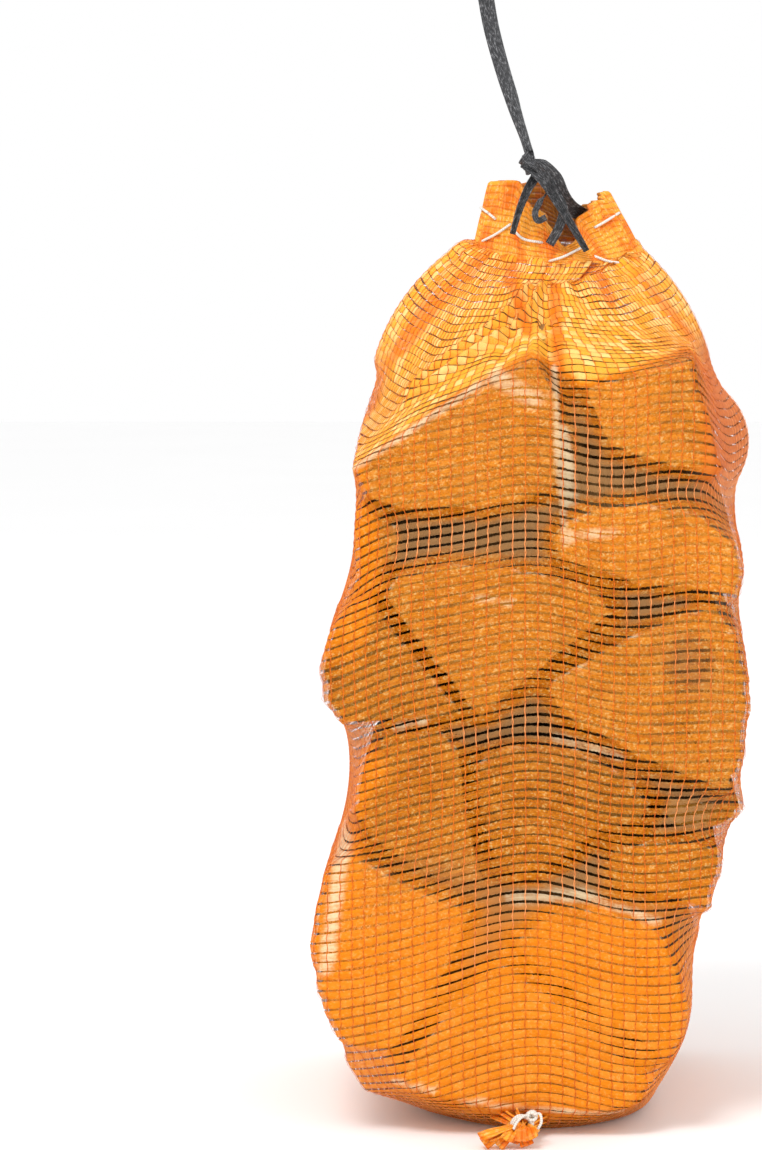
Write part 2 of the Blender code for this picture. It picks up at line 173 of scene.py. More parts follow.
def blurred(values, passes):
    """Values smoothed round a closed row of columns by a running mean of three."""
    for _ in range(passes):
        values = (np.roll(values, 1, axis=-1) + 2 * values + np.roll(values, -1, axis=-1)) / 4
    return values


def unit(vectors):
    return vectors / np.maximum(np.linalg.norm(vectors, axis=-1, keepdims=True), 1e-9)


def lengths(route):
    """The distance along a route to each of its points."""
    return np.concatenate([[0], np.cumsum(np.linalg.norm(np.diff(route, axis=0), axis=1))])


def channels(shape, *values):
    """Up to three numbers for each point of a grid, as its materials read them."""
    found = np.zeros((*shape, 3))
    for index, value in enumerate(values):
        found[..., index] = value
    return found


def bump(angle, centre, width):
    """A smooth bump of height 1 round an angle, all in degrees."""
    away = (angle - centre + 180) % 360 - 180
    return np.exp(-((away / width) ** 2))


def smooth_route(points, count, closed=False):
    """Points along a Catmull-Rom curve through the route."""
    route = np.array(points, float)
    if closed:
        before, after, last = route[-1], route[:2], len(route)
    else:
        before, after, last = 2 * route[0] - route[1], [2 * route[-1] - route[-2]], len(route) - 1
    padded = np.concatenate([[before], route, after])
    place = np.linspace(0, last, count, endpoint=not closed)
    part = np.minimum(place.astype(int), last - 1)
    t = (place - part)[:, None]
    a, b, c, d = padded[part], padded[part + 1], padded[part + 2], padded[part + 3]
    bend = (2 * a - 5 * b + 4 * c - d) * t**2 + (3 * b - a - 3 * c + d) * t**3
    return 0.5 * (2 * b + (c - a) * t + bend)


class Value:
    """A socket that carries a number, with arithmetic that adds its Math nodes."""

    def __init__(self, paint, socket):
        self.paint, self.socket = paint, socket

    def __add__(self, other):
        return self.paint.math("ADD", self, other)

    def __sub__(self, other):
        return self.paint.math("SUBTRACT", self, other)

    def __rsub__(self, other):
        return self.paint.math("SUBTRACT", other, self)

    def __mul__(self, other):
        return self.paint.math("MULTIPLY", self, other)

    def __pow__(self, other):
        return self.paint.math("POWER", self, other)

    __radd__ = __add__
    __rmul__ = __mul__


class Paint:
    """A material's node tree, with one method that makes every node."""

    def __init__(self, name, **surface):
        self.material = bpy.data.materials.new(name)
        self.material.use_nodes = True
        self.nodes = self.material.node_tree.nodes
        self.links = self.material.node_tree.links
        self.surface = self.nodes["Principled BSDF"]
        for label, value in surface.items():
            self.surface.inputs[label.replace("_", " ")].default_value = value

    def node(self, kind, settings, inputs):
        made = self.nodes.new("ShaderNode" + kind)
        for label, value in settings.items():
            setattr(made, label, value)
        for label, value in inputs.items():
            self.feed(made.inputs[label], value)
        return made

    def feed(self, socket, value):
        if isinstance(value, Value):
            value = value.socket
        if isinstance(value, bpy.types.NodeSocket):
            self.links.new(value, socket)
        elif isinstance(value, tuple) and len(value) == 3 and socket.type == "RGBA":
            socket.default_value = (*value, 1)
        else:
            socket.default_value = value

    def math(self, operation, *values):
        made = self.node("Math", {"operation": operation}, dict(enumerate(values)))
        return Value(self, made.outputs[0])

    def step(self, value, low, high):
        """0 below low and 1 above high, with a smooth rise between."""
        settings = {"interpolation_type": "SMOOTHSTEP"}
        made = self.node("MapRange", settings, {"Value": value, "From Min": low, "From Max": high})
        return Value(self, made.outputs["Result"])

    def swing(self, value):
        """The value's sine, moved to run from 0 to 1."""
        return self.math("SINE", value) * 0.5 + 0.5

    def split(self, vector):
        made = self.node("SeparateXYZ", {}, {"Vector": vector})
        return [Value(self, output) for output in made.outputs]

    def parts(self, name):
        """The three numbers of a point attribute."""
        return self.split(self.node("Attribute", {"attribute_name": name}, {}).outputs["Vector"])

    def here(self):
        """The place in the object, in millimetres."""
        return self.shade(self.node("TexCoord", {}, {}).outputs["Object"], 1 / MM)

    def vector(self, x, y, z):
        return self.node("CombineXYZ", {}, {"X": x, "Y": y, "Z": z}).outputs["Vector"]

    def noise(self, place, scale=1.0, detail=2.0, roughness=0.5):
        """Noise at a place, which is a vector or its three numbers."""
        vector = self.vector(*place) if isinstance(place, tuple) else place
        inputs = {"Vector": vector, "Scale": scale, "Detail": detail, "Roughness": roughness}
        return Value(self, self.node("TexNoise", {}, inputs).outputs["Fac"])

    def mix(self, factor, low, high):
        """A blend of two colours."""
        made = self.nodes.new("ShaderNodeMix")
        made.data_type = "RGBA"
        for socket, value in zip((made.inputs[0], made.inputs[6], made.inputs[7]), (factor, low, high)):
            self.feed(socket, value)
        return made.outputs[2]

    def washes(self, color, *washes):
        """A colour with tints over it, each given as the value that it follows, where it starts and where
        it is full, its strength and its colour."""
        for value, start, full, strength, tint in washes:
            color = self.mix(self.step(value, start, full) * strength, color, tint)
        return color

    def shade(self, vector, factor):
        """A vector or a colour times a number."""
        return self.node("VectorMath", {"operation": "SCALE"}, {0: vector, "Scale": factor}).outputs[0]

    def finish(self, color, roughness=None, height=None, depth=0.0005, alpha=None):
        self.feed(self.surface.inputs["Base Color"], color)
        if roughness is not None:
            self.feed(self.surface.inputs["Roughness"], roughness)
        if alpha is not None:
            self.feed(self.surface.inputs["Alpha"], alpha)
        if height is not None:
            made = self.node("Bump", {}, {"Strength": 1.0, "Distance": depth, "Height": height})
            self.feed(self.surface.inputs["Normal"], made.outputs["Normal"])
        return self.material


# Middle and half-widths in X and Z of the dark knot in the right log's sawn end
KNOT_PLACE = (91, 277)
KNOT_SIZE = (14, 17)

# Width of a year's growth, spacing of the hem's warps and tapes, and of the drawstring's weave
RING_PITCH = 3.1
HEM_WARP_PITCH = 6.4
HEM_ROW_PITCH = 3.2
WEAVE_PITCH = 1.5


def wood_paint():
    """Split and sawn wood: fibres and bark along the sides, rings, saw marks and a dark knot on the ends,
    and a pale painted highlight with a ragged edge along the front ends' upper rims, which face the light."""
    paint = Paint("split wood", Specular_IOR_Level=0.2)
    ring, around, along = paint.parts("grain")
    end, bark, tone_and_shade = paint.parts("finish")
    saw, rim, _ = paint.parts("sawn")
    here = paint.here()
    x, y, z = paint.split(here)
    cloudy = paint.noise(here, 0.035, 3.0)
    speckle = paint.noise(here, 0.9, 3.0, 0.7)
    ragged = paint.noise(here, 0.16, 4.0, 0.75)
    wander = paint.noise((x, y * 0.2, z), 0.03)
    fibre = paint.noise((around * 0.8, along * 0.02, ring * 0.4), 1.0, 4.0, 0.65)
    broad = paint.noise((around * 0.12, along * 0.006, ring * 0.1))
    rough_bark = paint.noise((around * 0.16, along * 0.05, ring * 0.1), 1.0, 4.0, 0.6)
    side = paint.mix(paint.step(fibre, 0.3, 0.7), (0.36, 0.17, 0.045), (0.68, 0.38, 0.13))
    side = paint.washes(side, (broad, 0.5, 0.75, 0.5, (0.28, 0.12, 0.03)))
    late = paint.swing((ring + wander * 9.0) * (TURN / RING_PITCH)) ** 3.0
    knot_x = (x - KNOT_PLACE[0]) * (1 / KNOT_SIZE[0])
    knot_z = (z - KNOT_PLACE[1]) * (1 / KNOT_SIZE[1])
    from_knot = paint.math("SQRT", knot_x * knot_x + knot_z * knot_z)
    from_knot = from_knot + (speckle - 0.5) * 0.9 + (wander - 0.5) * 1.2
    knotty = paint.mix(paint.swing(from_knot * 11.0) * 0.7, (0.14, 0.06, 0.015), (0.34, 0.15, 0.03))
    face = paint.washes(
        paint.mix(late * 0.6, (0.66, 0.27, 0.022), (0.38, 0.13, 0.008)),
        (speckle, 0.50, 0.66, 0.75, (0.98, 0.64, 0.22)),
        (cloudy, 0.45, 0.7, 0.55, (0.26, 0.095, 0.012)),
        (from_knot, 1.15, 0.7, 0.95, knotty),
    )
    skin = paint.mix(paint.step(rough_bark, 0.35, 0.65), (0.07, 0.045, 0.03), (0.33, 0.25, 0.17))
    # Each log's lightness scales the colour here. It holds painted shade for the middle logs and for sides
    # that face another log.
    color = paint.shade(paint.mix(end, paint.mix(bark, side, skin), face), tone_and_shade)
    # Painted highlight: a pale ragged band on the front ends' upper rims, where they face up to the light.
    rim_highlight = rim * 0.5 + (ragged - 0.5) * 3.0
    color = paint.washes(color, (rim_highlight, 0.42, 0.95, rim * 0.9, (0.95, 0.80, 0.52)))
    marks = paint.noise((saw * 0.55, speckle * 0.5, 0.0), 1.0, 2.0, 0.6)
    relief = end * (marks * 0.7 + speckle * 0.6 + late * 0.15) + (1 - end) * (fibre + bark * rough_bark * 2)
    return paint.finish(color, 0.82 - speckle * 0.12, relief, 0.0007)


def weft_paint():
    """Translucent orange tape with fine lines along it, a tint of its own in each cell and frayed edges.

    Its edge is cut back where distance from the middle plus fine noise passes a limit."""
    paint = Paint("orange weft tape", Specular_IOR_Level=0.06)
    around, row, across = paint.parts("weave")
    backed, dense_and_lit, shaded_shoulder = paint.parts("backing")
    fold, pale, _ = paint.parts("fold")
    here = paint.here()
    patch = paint.noise(here, 0.06, 3.0)
    speck = paint.noise(here, 0.55, 3.0, 0.75)
    lines = paint.noise((around * 0.32, row * 7.0, across * 2.6), 1.0, 2.0, 0.6)
    fray = paint.noise((around * 5.5, row * 5.0, across * 1.2), 1.0, 3.0, 0.7)
    cover = paint.noise((around * 0.9, row * 5.0, across * 0.7))
    cell = paint.vector(paint.math("FLOOR", around), row * 3.0, 0.0)
    chance = paint.node("TexWhiteNoise", {"noise_dimensions": "2D"}, {"Vector": cell})
    tint = Value(paint, chance.outputs["Value"]) ** 2.0
    # Painted light: the net over the top logs' lit upper sides.
    lit_dome = paint.step(dense_and_lit, 0.6, 1.0)
    color = paint.mix(paint.step(lines, 0.3, 0.7), (0.70, 0.155, 0.001), (0.88, 0.27, 0.003))
    color = paint.mix(paint.step(patch, 0.5, 0.8) * 0.35 + tint * 0.12, color, (1.0, 0.46, 0.09))
    color = paint.washes(
        color,
        (speck, 0.54, 0.65, 0.85, (1.0, 0.62, 0.22)),
        (speck, 0.48, 0.32, 0.7, (0.36, 0.08, 0.003)),
    )
    color = paint.washes(
        # Painted light: over wood the tape shows its full bright orange, as if lit by light the wood throws
        # back through it, and over a gap it turns a dull tan.
        paint.mix(backed, (0.54, 0.27, 0.10), color),
        (dense_and_lit, 0.1, 0.5, 0.6, (1.0, 0.27, 0.004)),
        # Painted light: yellow, then pale flecks, where the net lies over lit wood.
        (dense_and_lit, 0.6, 1.0, 0.8, (1.0, 0.47, 0.04)),
        (tint, 0.18, 0.75, lit_dome * 0.75, (1.0, 0.72, 0.28)),
        # Painted shade: a deeper red in the folds' valleys near the seam and along the fold lines.
        (fold, 0.1, 0.8, 0.75, (0.86, 0.17, 0.004)),
    )
    # Painted shade: the net on the right shoulder, turned from the light, is darkened to a salmon red.
    color = paint.mix(shaded_shoulder * 0.85, color, (0.60, 0.14, 0.025))
    # Painted highlight: pale streaks where the tapes catch the light.
    catching = pale * (speck + lines * 1.1 + tint * 0.3)
    color = paint.washes(color, (catching, 0.35, 1.2, 0.85, (1.0, 0.80, 0.50)))
    edge = paint.math("ABSOLUTE", across) + (fray - 0.5) * (0.5 + 0.9 * backed)
    edge = edge + (cover - 0.5) * backed * 0.8 - dense_and_lit * 0.22 - backed * 0.12
    alpha = 0.33 + 0.18 * lines + 0.07 * backed + 0.38 * dense_and_lit + 0.3 * shaded_shoulder + 0.12 * tint
    alpha = paint.math("MINIMUM", alpha, 0.97) * (1 - paint.step(edge, 0.78, 0.90))
    relief = across * across * -1.0 + lines * 0.35
    return paint.finish(color, 0.40 + 0.16 * lines, relief, 0.0005, alpha)


def warp_paint():
    """Thin twisted warp thread with painted light and shade: lit pinker than the tape over a gap and shaded
    redder over wood.
    """
    paint = Paint("leno warp thread", Specular_IOR_Level=0.2)
    backed = paint.parts("backing")[0]
    grain = paint.noise(paint.here(), 0.5)
    over_gap = paint.mix(paint.step(grain, 0.3, 0.7), (0.80, 0.22, 0.05), (0.97, 0.38, 0.13))
    over_wood = paint.mix(paint.step(grain, 0.35, 0.65), (0.54, 0.08, 0.004), (0.84, 0.20, 0.01))
    # Painted light and shade: a lit pink copy over gaps, a shaded red copy over wood.
    color = paint.mix(backed, over_gap, over_wood)
    return paint.finish(color, 0.45 + 0.15 * grain, alpha=0.95 - 0.08 * backed)


def hem_paint():
    """Two layers of the net sewn into a hem, with its tapes close together."""
    paint = Paint("hem of doubled net", Specular_IOR_Level=0.2)
    around, up, inside = paint.parts("weave")
    fold = paint.parts("fold")[0]
    warps = paint.swing(around * (TURN / HEM_WARP_PITCH))
    gaps = paint.swing(up * (TURN / HEM_ROW_PITCH)) ** 5.0 * 0.75
    lines = paint.noise((around * 0.06, up * 1.6, inside), 1.0, 3.0, 0.6)
    fleck = paint.noise((around * 0.35, up * 0.55, inside), 1.0, 2.0, 0.7)
    patch = paint.noise(paint.here(), 0.09, 3.0)
    color = paint.washes(
        paint.mix(paint.step(lines, 0.3, 0.7), (0.92, 0.23, 0.006), (1.0, 0.41, 0.025)),
        (patch, 0.4, 0.65, 0.7, (1.0, 0.42, 0.04)),
        (fleck, 0.53, 0.66, 0.65, (1.0, 0.70, 0.27)),
        # Painted shade: broad deep-red patches, placed by noise, for the shade among the hem's folds.
        (patch, 0.50, 0.36, 0.75, (0.90, 0.15, 0.004)),
    )
    color = paint.mix(gaps * 0.35, color, (0.55, 0.10, 0.003))
    color = paint.mix(warps**12.0 * 0.3, color, (1.0, 0.45, 0.16))
    # Painted shade: a deeper red in the valleys of the hem's folds.
    color = paint.washes(color, (fold, 0.15, 0.8, 0.7, (0.82, 0.13, 0.004)))
    # Painted shade: the inner wall of the hem is darkened.
    color = paint.mix(inside * 0.6, color, (0.24, 0.08, 0.02))
    relief = lines * 0.4 - gaps * 0.7 + warps * 0.2
    return paint.finish(color, 0.38 + 0.15 * lines, relief, 0.0006, 0.97 - gaps * 0.25)


def thread_paint():
    """White sewing thread with a fine twist, darker along each turn of it."""
    paint = Paint("white sewing thread")
    along, turned, _ = paint.parts("weave")
    twist = paint.swing(along * 5.2 + turned * TURN)
    color = paint.mix(twist * 0.6, (0.90, 0.87, 0.80), (0.62, 0.57, 0.48))
    return paint.finish(color, 0.72, twist, 0.0003)


def drawstring_paint():
    """Dark grey woven tape with a fine diagonal weave, broad streaks of painted highlight and of painted
    near-black shadow like creases, and pale fibres that also paint its sheen.
    """
    paint = Paint("dark woven tape")
    along, across, _ = paint.parts("weave")
    left = paint.swing((along + across * 1.6) * (TURN / WEAVE_PITCH))
    right = paint.swing((along - across * 1.6) * (TURN / WEAVE_PITCH))
    weave = paint.math("MAXIMUM", left, right)
    fibres_and_sheen = paint.noise((along * 1.6, across * 3.0, 0.0), 1.0, 3.0, 0.7)
    streak = paint.noise((along * 0.32, across * 1.1, 0.0), 1.0, 3.0, 0.7)
    color = paint.washes(
        paint.mix(weave, (0.005, 0.005, 0.006), (0.05, 0.051, 0.056)),
        # Painted highlight, then painted shadow, in broad streaks along the tape.
        (streak, 0.50, 0.68, 0.75, (0.33, 0.33, 0.34)),
        (streak, 0.50, 0.34, 0.85, (0.005, 0.005, 0.005)),
        (fibres_and_sheen, 0.54, 0.70, 0.5, (0.26, 0.26, 0.27)),
    )
    return paint.finish(color, 0.62 - weave * 0.15, weave + fibres_and_sheen * 0.4, 0.0004)


wood = wood_paint()
weft_finish = weft_paint()
warp_finish = warp_paint()
hem_finish = hem_paint()
thread_finish = thread_paint()
tape_finish = drawstring_paint()


# Camera


def make_camera():
    data = bpy.data.cameras.new("camera")
    data.lens = CAMERA_LENS
    data.shift_x = CAMERA_SHIFT
    data.clip_start, data.clip_end = 0.05, 60
    obj = in_scene("camera", data)
    obj.location = CAMERA_PLACE
    obj.rotation_euler = (CAMERA_TILT, 0, 0)
    bpy.context.scene.camera = obj


make_camera()


# Drawstring

TAPE_THICKNESS = 0.9
TAIL = [(-1, -15, 571), (-5, -13, 584), (-10, -10, 599), (-15, -7, 614), (-20, -4, 631)]
TAIL += [(-24, -1, 647), (-27, 0, 664)]
LOOP_FOOT = (-28, 0, 672)


def tape_grid(route, sideways, width, curl):
    """A flat tape carried along a route, as rings of a closed outline.

    Across the tape the outline bends into an arc of half-angle curl, so its chord is its width
    times the sine of curl over curl. Its thickness stands half each side of the arc."""
    route = np.asarray(route, float)
    tangent = unit(np.gradient(route, axis=0))
    sideways = np.broadcast_to(np.asarray(sideways, float), route.shape)
    side = unit(sideways - tangent * (sideways * tangent).sum(axis=1, keepdims=True))
    facing = np.cross(side, tangent)
    half = 9
    across = np.concatenate([np.linspace(-1, 1, half), np.linspace(1, -1, half)])
    out = np.concatenate([np.ones(half), -np.ones(half)]) * TAPE_THICKNESS / 2
    out = out * np.sqrt(np.clip(1.02 - np.abs(across) ** 6, 0.1, 1))
    half_width = np.broadcast_to(width, len(route))[:, None] / 2
    bend = np.maximum(np.broadcast_to(curl, len(route)), 1e-3)[:, None]
    reach = half_width / bend
    angle = across * bend
    flat = np.sin(angle) * (reach + out)
    deep = reach - np.cos(angle) * (reach + out)
    deep = deep - deep.mean(axis=1, keepdims=True)
    points = route[:, None] + side[:, None] * flat[..., None] - facing[:, None] * deep[..., None]
    return points, channels(flat.shape, lengths(route)[:, None], across * half_width)


def grids_piece(name, grids, surface):
    """A mesh piece of closed tubes, each from a grid of rings, with its ends closed."""
    points, weaves, faces, ends, first = [], [], [], [], 0
    for grid, weave in grids:
        rows, columns = grid.shape[:2]
        faces.append(grid_faces(rows, columns, first=first))
        ends.append(first + np.arange(columns)[None, ::-1])
        ends.append(first + (rows - 1) * columns + np.arange(columns)[None])
        points.append(grid.reshape(-1, 3))
        weaves.append(weave.reshape(-1, 3))
        first += rows * columns
    faces = [np.concatenate(faces), *ends]
    return mesh_piece(name, np.concatenate(points), faces, surface, {"weave": np.concatenate(weaves)})


def round_grid(route, radius, sides=8):
    """A round cord along a route, as rings of points."""
    route = np.asarray(route, float)
    tangent = unit(np.gradient(route, axis=0))
    helper = np.where(np.abs(tangent[:, 2:]) > 0.9, [[1.0, 0, 0]], [[0, 0, 1.0]])
    side = unit(np.cross(helper, tangent))
    for index in range(1, len(side)):
        kept = side[index - 1] - tangent[index] * (side[index - 1] @ tangent[index])
        side[index] = kept / np.linalg.norm(kept)
    up = np.cross(tangent, side)
    turn = np.arange(sides) * TURN / sides
    spread = side[:, None] * np.cos(turn)[None, :, None] + up[:, None] * np.sin(turn)[None, :, None]
    points = route[:, None] + spread * np.broadcast_to(radius, len(route))[:, None, None]
    return points, channels(points.shape[:-1], lengths(route)[:, None], turn / TURN)


def twisting(route, start, end):
    """Sideways directions that turn from one to the other along a route."""
    share = np.linspace(0, 1, len(route))[:, None]
    return unit(np.array(start, float) * (1 - share) + np.array(end, float) * share)


def make_tail():
    """The free tape, cupped where it leaves the knot and flatter higher up."""
    route = smooth_route(TAIL, 60)
    sideways = twisting(route, (0.75, 0.65, 0.1), (1, 0.15, 0.2))
    curl = 2.0 - 1.6 * smoothstep(0.05, 0.45, np.linspace(0, 1, 60))
    return grids_piece("tail_tape", [tape_grid(route, sideways, 9.8, curl)], tape_finish)


def make_loop():
    """The loop in the tail's end, and the turns of tape that bind its foot."""
    ring = [(-30, 0, 679), (-37, 0, 697), (-37, 0, 714), (-29, 0, 722), (-21, 0, 714), (-21, 0, 697)]
    route = smooth_route([LOOP_FOOT, *ring, LOOP_FOOT], 70)
    turns = np.linspace(0, TURN * 1.9, 60)
    wrap = np.column_stack([5.2 * np.cos(turns), 4.6 * np.sin(turns), 5.4 * np.sin(turns * 0.5 + 0.4)])
    grids = [tape_grid(route, (0, 1, 0), 5.0, 0.9), tape_grid(wrap + LOOP_FOOT, (0.25, 0.1, 1), 6.0, 0.7)]
    return grids_piece("end_loop_tape", grids, tape_finish)


tail = make_tail()
end_loop = make_loop()
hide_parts("drawstring_tail")
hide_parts("drawstring_loop")
((smooth_route(TAIL, 60) + CENTRING) * MM).tolist()


# Logs: name, the tree's centre in the front outline's X and Z, bark where the outline is farther
# from it than this share, and the wood's lightness, partly its own colour and partly painted shade
# on the middle logs that the net's bulge shades

LOG_WOOD = {
    "top_left": ((-35, 345), 1.5, 0.95),
    "top_right": ((112, 352), 1.5, 1.05),
    "upper_left": ((-60, 330), 1.5, 0.6),
    "upper_right": ((62, 262), 1.5, 1.1),
    "center": ((-29, 226), 0.93, 0.8),
    "left": ((-30, 252), 0.93, 0.55),
    "right": ((-4, 262), 0.93, 0.85),
    "lower_left": ((-14, 165), 0.95, 0.6),
    "lower_center": ((2, 138), 0.88, 0.38),
    "stick": ((96, 150), 1.5, 0.6),
    "lower_right": ((72, 96), 1.5, 0.65),
    "bottom_left": ((-20, 112), 0.93, 1.3),
    "bottom": ((-15, 118), 0.93, 1.2),
    "bottom_right": ((-16, 66), 0.96, 1.2),
}


def node_rings(node):
    """The node's rings of corners in mm, front to rear, each clockwise from the front."""
    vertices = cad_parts[node].data.vertices
    points = np.empty(len(vertices) * 3)
    vertices.foreach_get("co", points)
    points = np.unique(np.round(points.reshape(-1, 3) / MM - CENTRING, 2), axis=0)
    points = points[np.argsort(points[:, 1])]
    rings = np.split(points, np.flatnonzero(np.diff(points[:, 1]) > RING_GAP) + 1)
    ordered = []
    for ring in rings:
        middle = ring.mean(axis=0)
        turned = ring[np.argsort(-np.arctan2(ring[:, 2] - middle[2], ring[:, 0] - middle[0]))]
        if ordered:
            shape, first = turned - middle, ordered[0] - ordered[0].mean(axis=0)
            misfits = [np.abs(np.roll(shape, -k, axis=0) - first).sum() for k in range(len(shape))]
            turned = np.roll(turned, -int(np.argmin(misfits)), axis=0)
        ordered.append(turned)
    return np.array(ordered)


def resampled(rings):
    """Rings of LOG_AROUND points each, at the same shares round every ring and at its corners."""
    closed = np.concatenate([rings, rings[:, :1]], axis=1)
    length = np.linalg.norm(np.diff(closed[1], axis=0), axis=1)
    corner = np.concatenate([[0], np.cumsum(length)])
    share = np.arange(LOG_AROUND) * corner[-1] / LOG_AROUND
    nearest = np.round(corner[:-1] / corner[-1] * LOG_AROUND).astype(int) % LOG_AROUND
    share[nearest] = corner[:-1]
    found = [[np.interp(share, corner, ring[:, k]) for k in range(3)] for ring in closed]
    return np.array(found).transpose(0, 2, 1), share


def touching(sections):
    """How each point of each log's middle section moves, in X and Z, for the logs to meet inside.

    In each pass a point moves outward by half its distance to the nearest point of another log,
    where that point lies ahead of its own outward side and within reach, and away from the bag's
    sides. Beside the moves stands 1 where there is such a neighbour."""
    starts = {place: rings[2][:, [0, 2]] for place, (rings, _) in sections.items()}
    middles, inner = dict(starts), {}
    for number in range(SWELL_PASSES):
        swollen = {}
        for place, points in middles.items():
            others = np.concatenate([found for name, found in middles.items() if name != place])
            around_way = np.roll(points, -1, axis=0) - np.roll(points, 1, axis=0)
            outward = unit(np.column_stack([-around_way[:, 1], around_way[:, 0]]))
            away = others[None] - points[:, None]
            gap = np.linalg.norm(away, axis=2)
            ahead = (away * outward[:, None]).sum(axis=2) > SWELL_AHEAD * gap
            nearest = np.where(ahead, gap, 1000).min(axis=1)
            amount = np.where(nearest < SWELL_REACH, np.clip(nearest / 2 - 0.3, 0, SWELL_MOST), 0)
            amount = amount * smoothstep(*SWELL_SIDES, np.abs(points[:, 0] - BAG_CENTRE[0]))
            swollen[place] = points + outward * blurred(amount, 4)[:, None]
            if number == 0:
                inner[place] = blurred(nearest < SWELL_REACH, 3)
        middles = swollen
    return {place: (middles[place] - starts[place], inner[place]) for place in starts}


def sawn_face(edge, depth, inward, turn, seed):
    """A sawn end: rings of points from near its middle out to its chipped rim, slightly uneven."""
    chip = 0.5 + 0.9 * np.abs(noise(turn, turn * 0, (48, 1), seed + 4))
    shares = np.linspace(0, 1, CAP_RINGS + 1)[1:, None, None] ** 0.9
    core = edge.mean(axis=0)
    rim = edge + unit(core - edge) * chip[:, None]
    face = core + (rim - core) * shares
    across, up = face[..., 0] / 150, face[..., 2] / 150
    uneven = 0.5 * noise(across, up, (8, 8), seed + 5) + 0.25 * noise(across, up, (30, 30), seed + 6)
    face[..., 1] = depth + inward * (0.75 + uneven)
    return face


def make_log(place, seed):
    """A split log: its CAD outline carried from front to rear through the middle ring on a parabola,
    then worn back by ridges along the fibres and by furrows in its bark. The sawn ends close it."""
    centre, bark_share, tone_and_shade = LOG_WOOD[place]
    rings, around = log_sections[place]
    moves, inner = log_swell[place]
    perimeter = around[-1]
    sizes = ((8, 4.5), (6, 9), (5, 19))
    fine, middling, wide = [max(least, int(perimeter / size)) for least, size in sizes]
    saw_angle = 0.5 + seed * 0.7

    def from_pith(points, shift):
        return np.linalg.norm((points - shift)[..., [0, 2]] - centre, axis=2)

    def across_marks(points):
        return points[..., 0] * math.cos(saw_angle) + points[..., 2] * math.sin(saw_angle)

    share = np.linspace(0, 1, LOG_ALONG)[:, None, None]
    side = rings[1] * (1 - share) * (1 - 2 * share) + rings[2] * 4 * share * (1 - share)
    side = side + rings[3] * share * (2 * share - 1)
    axis = side.mean(axis=1, keepdims=True) - side[:1].mean(axis=1, keepdims=True)
    ring = from_pith(side, axis)
    turn = np.broadcast_to(around / (perimeter + 2), ring.shape)
    stretch = (side[..., 1] - side[..., 1].min()) / 400
    past_bark = ring / ring.max() - bark_share + 0.03 * noise(turn, stretch, (9, 6), seed)
    bark = smoothstep(-0.02, 0.03, past_bark)
    ridges = 0.9 * np.abs(noise(turn, stretch, (fine, 3), seed + 1))
    ridges = ridges + 1.3 * np.abs(noise(turn, stretch, (wide, 2), seed + 2))
    furrow = 1 - np.abs(noise(turn, stretch, (middling, 11), seed + 3)) * 2
    depth = ridges * (1 - bark) + bark * (0.4 + 2.2 * np.clip(furrow, 0, 1))
    around_way = np.roll(side, -1, axis=1) - np.roll(side, 1, axis=1)
    outward = unit(np.cross(around_way, np.gradient(side, axis=0)))
    belly = smoothstep(0.06, 0.3, share) * smoothstep(0.06, 0.3, 1 - share)
    side = side - outward * depth[..., None]
    side[..., [0, 2]] += moves * belly
    front = sawn_face(side[0], rings[0][:, 1].mean(), 1, turn[0], seed)
    rear = sawn_face(side[-1], rings[4][:, 1].mean(), -1, turn[0], seed)
    front_ring, rear_ring = from_pith(front, axis[0]), from_pith(rear, axis[-1])
    grid = np.concatenate([front, side, rear[::-1]])
    poles = np.array([front[0].mean(axis=0), rear[0].mean(axis=0)])
    shape = grid.shape[:2]
    grain = channels(shape, np.concatenate([front_ring, ring, rear_ring[::-1]]), around, grid[..., 1])
    finish = channels(shape, 1, 0, tone_and_shade)
    finish[CAP_RINGS:-CAP_RINGS, :, 0] = 0
    finish[CAP_RINGS:-CAP_RINGS, :, 1] = bark
    # Painted shade: sides that face another log inside the bundle are darkened.
    finish[CAP_RINGS:-CAP_RINGS, :, 2] *= 1 - INNER_SHADE * inner
    sawn = channels(shape, across_marks(grid))
    # Mask of the painted highlight: the front ends' upper rims, where they face up.
    from_rim = np.abs(np.arange(CAP_RINGS + 2) - CAP_RINGS)[:, None]
    sawn[: CAP_RINGS + 2, :, 1] = smoothstep(0.25, 0.6, outward[0, :, 2]) * smoothstep(3.2, 0.4, from_rim)
    at_poles = {
        "grain": channels((2,), [front_ring[0].mean(), rear_ring[0].mean()], 0, poles[:, 1]),
        "finish": channels((2,), 1, 0, tone_and_shade),
        "sawn": channels((2,), across_marks(poles)),
    }
    attributes = {
        label: np.concatenate([values.reshape(-1, 3), at_poles[label]])
        for label, values in (("grain", grain), ("finish", finish), ("sawn", sawn))
    }
    count = len(grid) * LOG_AROUND
    front_fan = fan_faces(0, LOG_AROUND, count, False)
    rear_fan = fan_faces(count - LOG_AROUND, LOG_AROUND, count + 1, True)
    faces = [grid_faces(len(grid), LOG_AROUND), np.concatenate([front_fan, rear_fan])]
    points = np.concatenate([grid.reshape(-1, 3), poles])
    piece = mesh_piece(place + "_log", points, faces, wood, attributes)
    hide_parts("log_" + place)
    return grid.reshape(-1, 3)


log_sections = {place: resampled(node_rings("log_" + place)) for place in LOG_WOOD}
log_swell = touching(log_sections)
log_points = np.concatenate([make_log(place, 10 * number) for number, place in enumerate(LOG_WOOD)])


# Bag


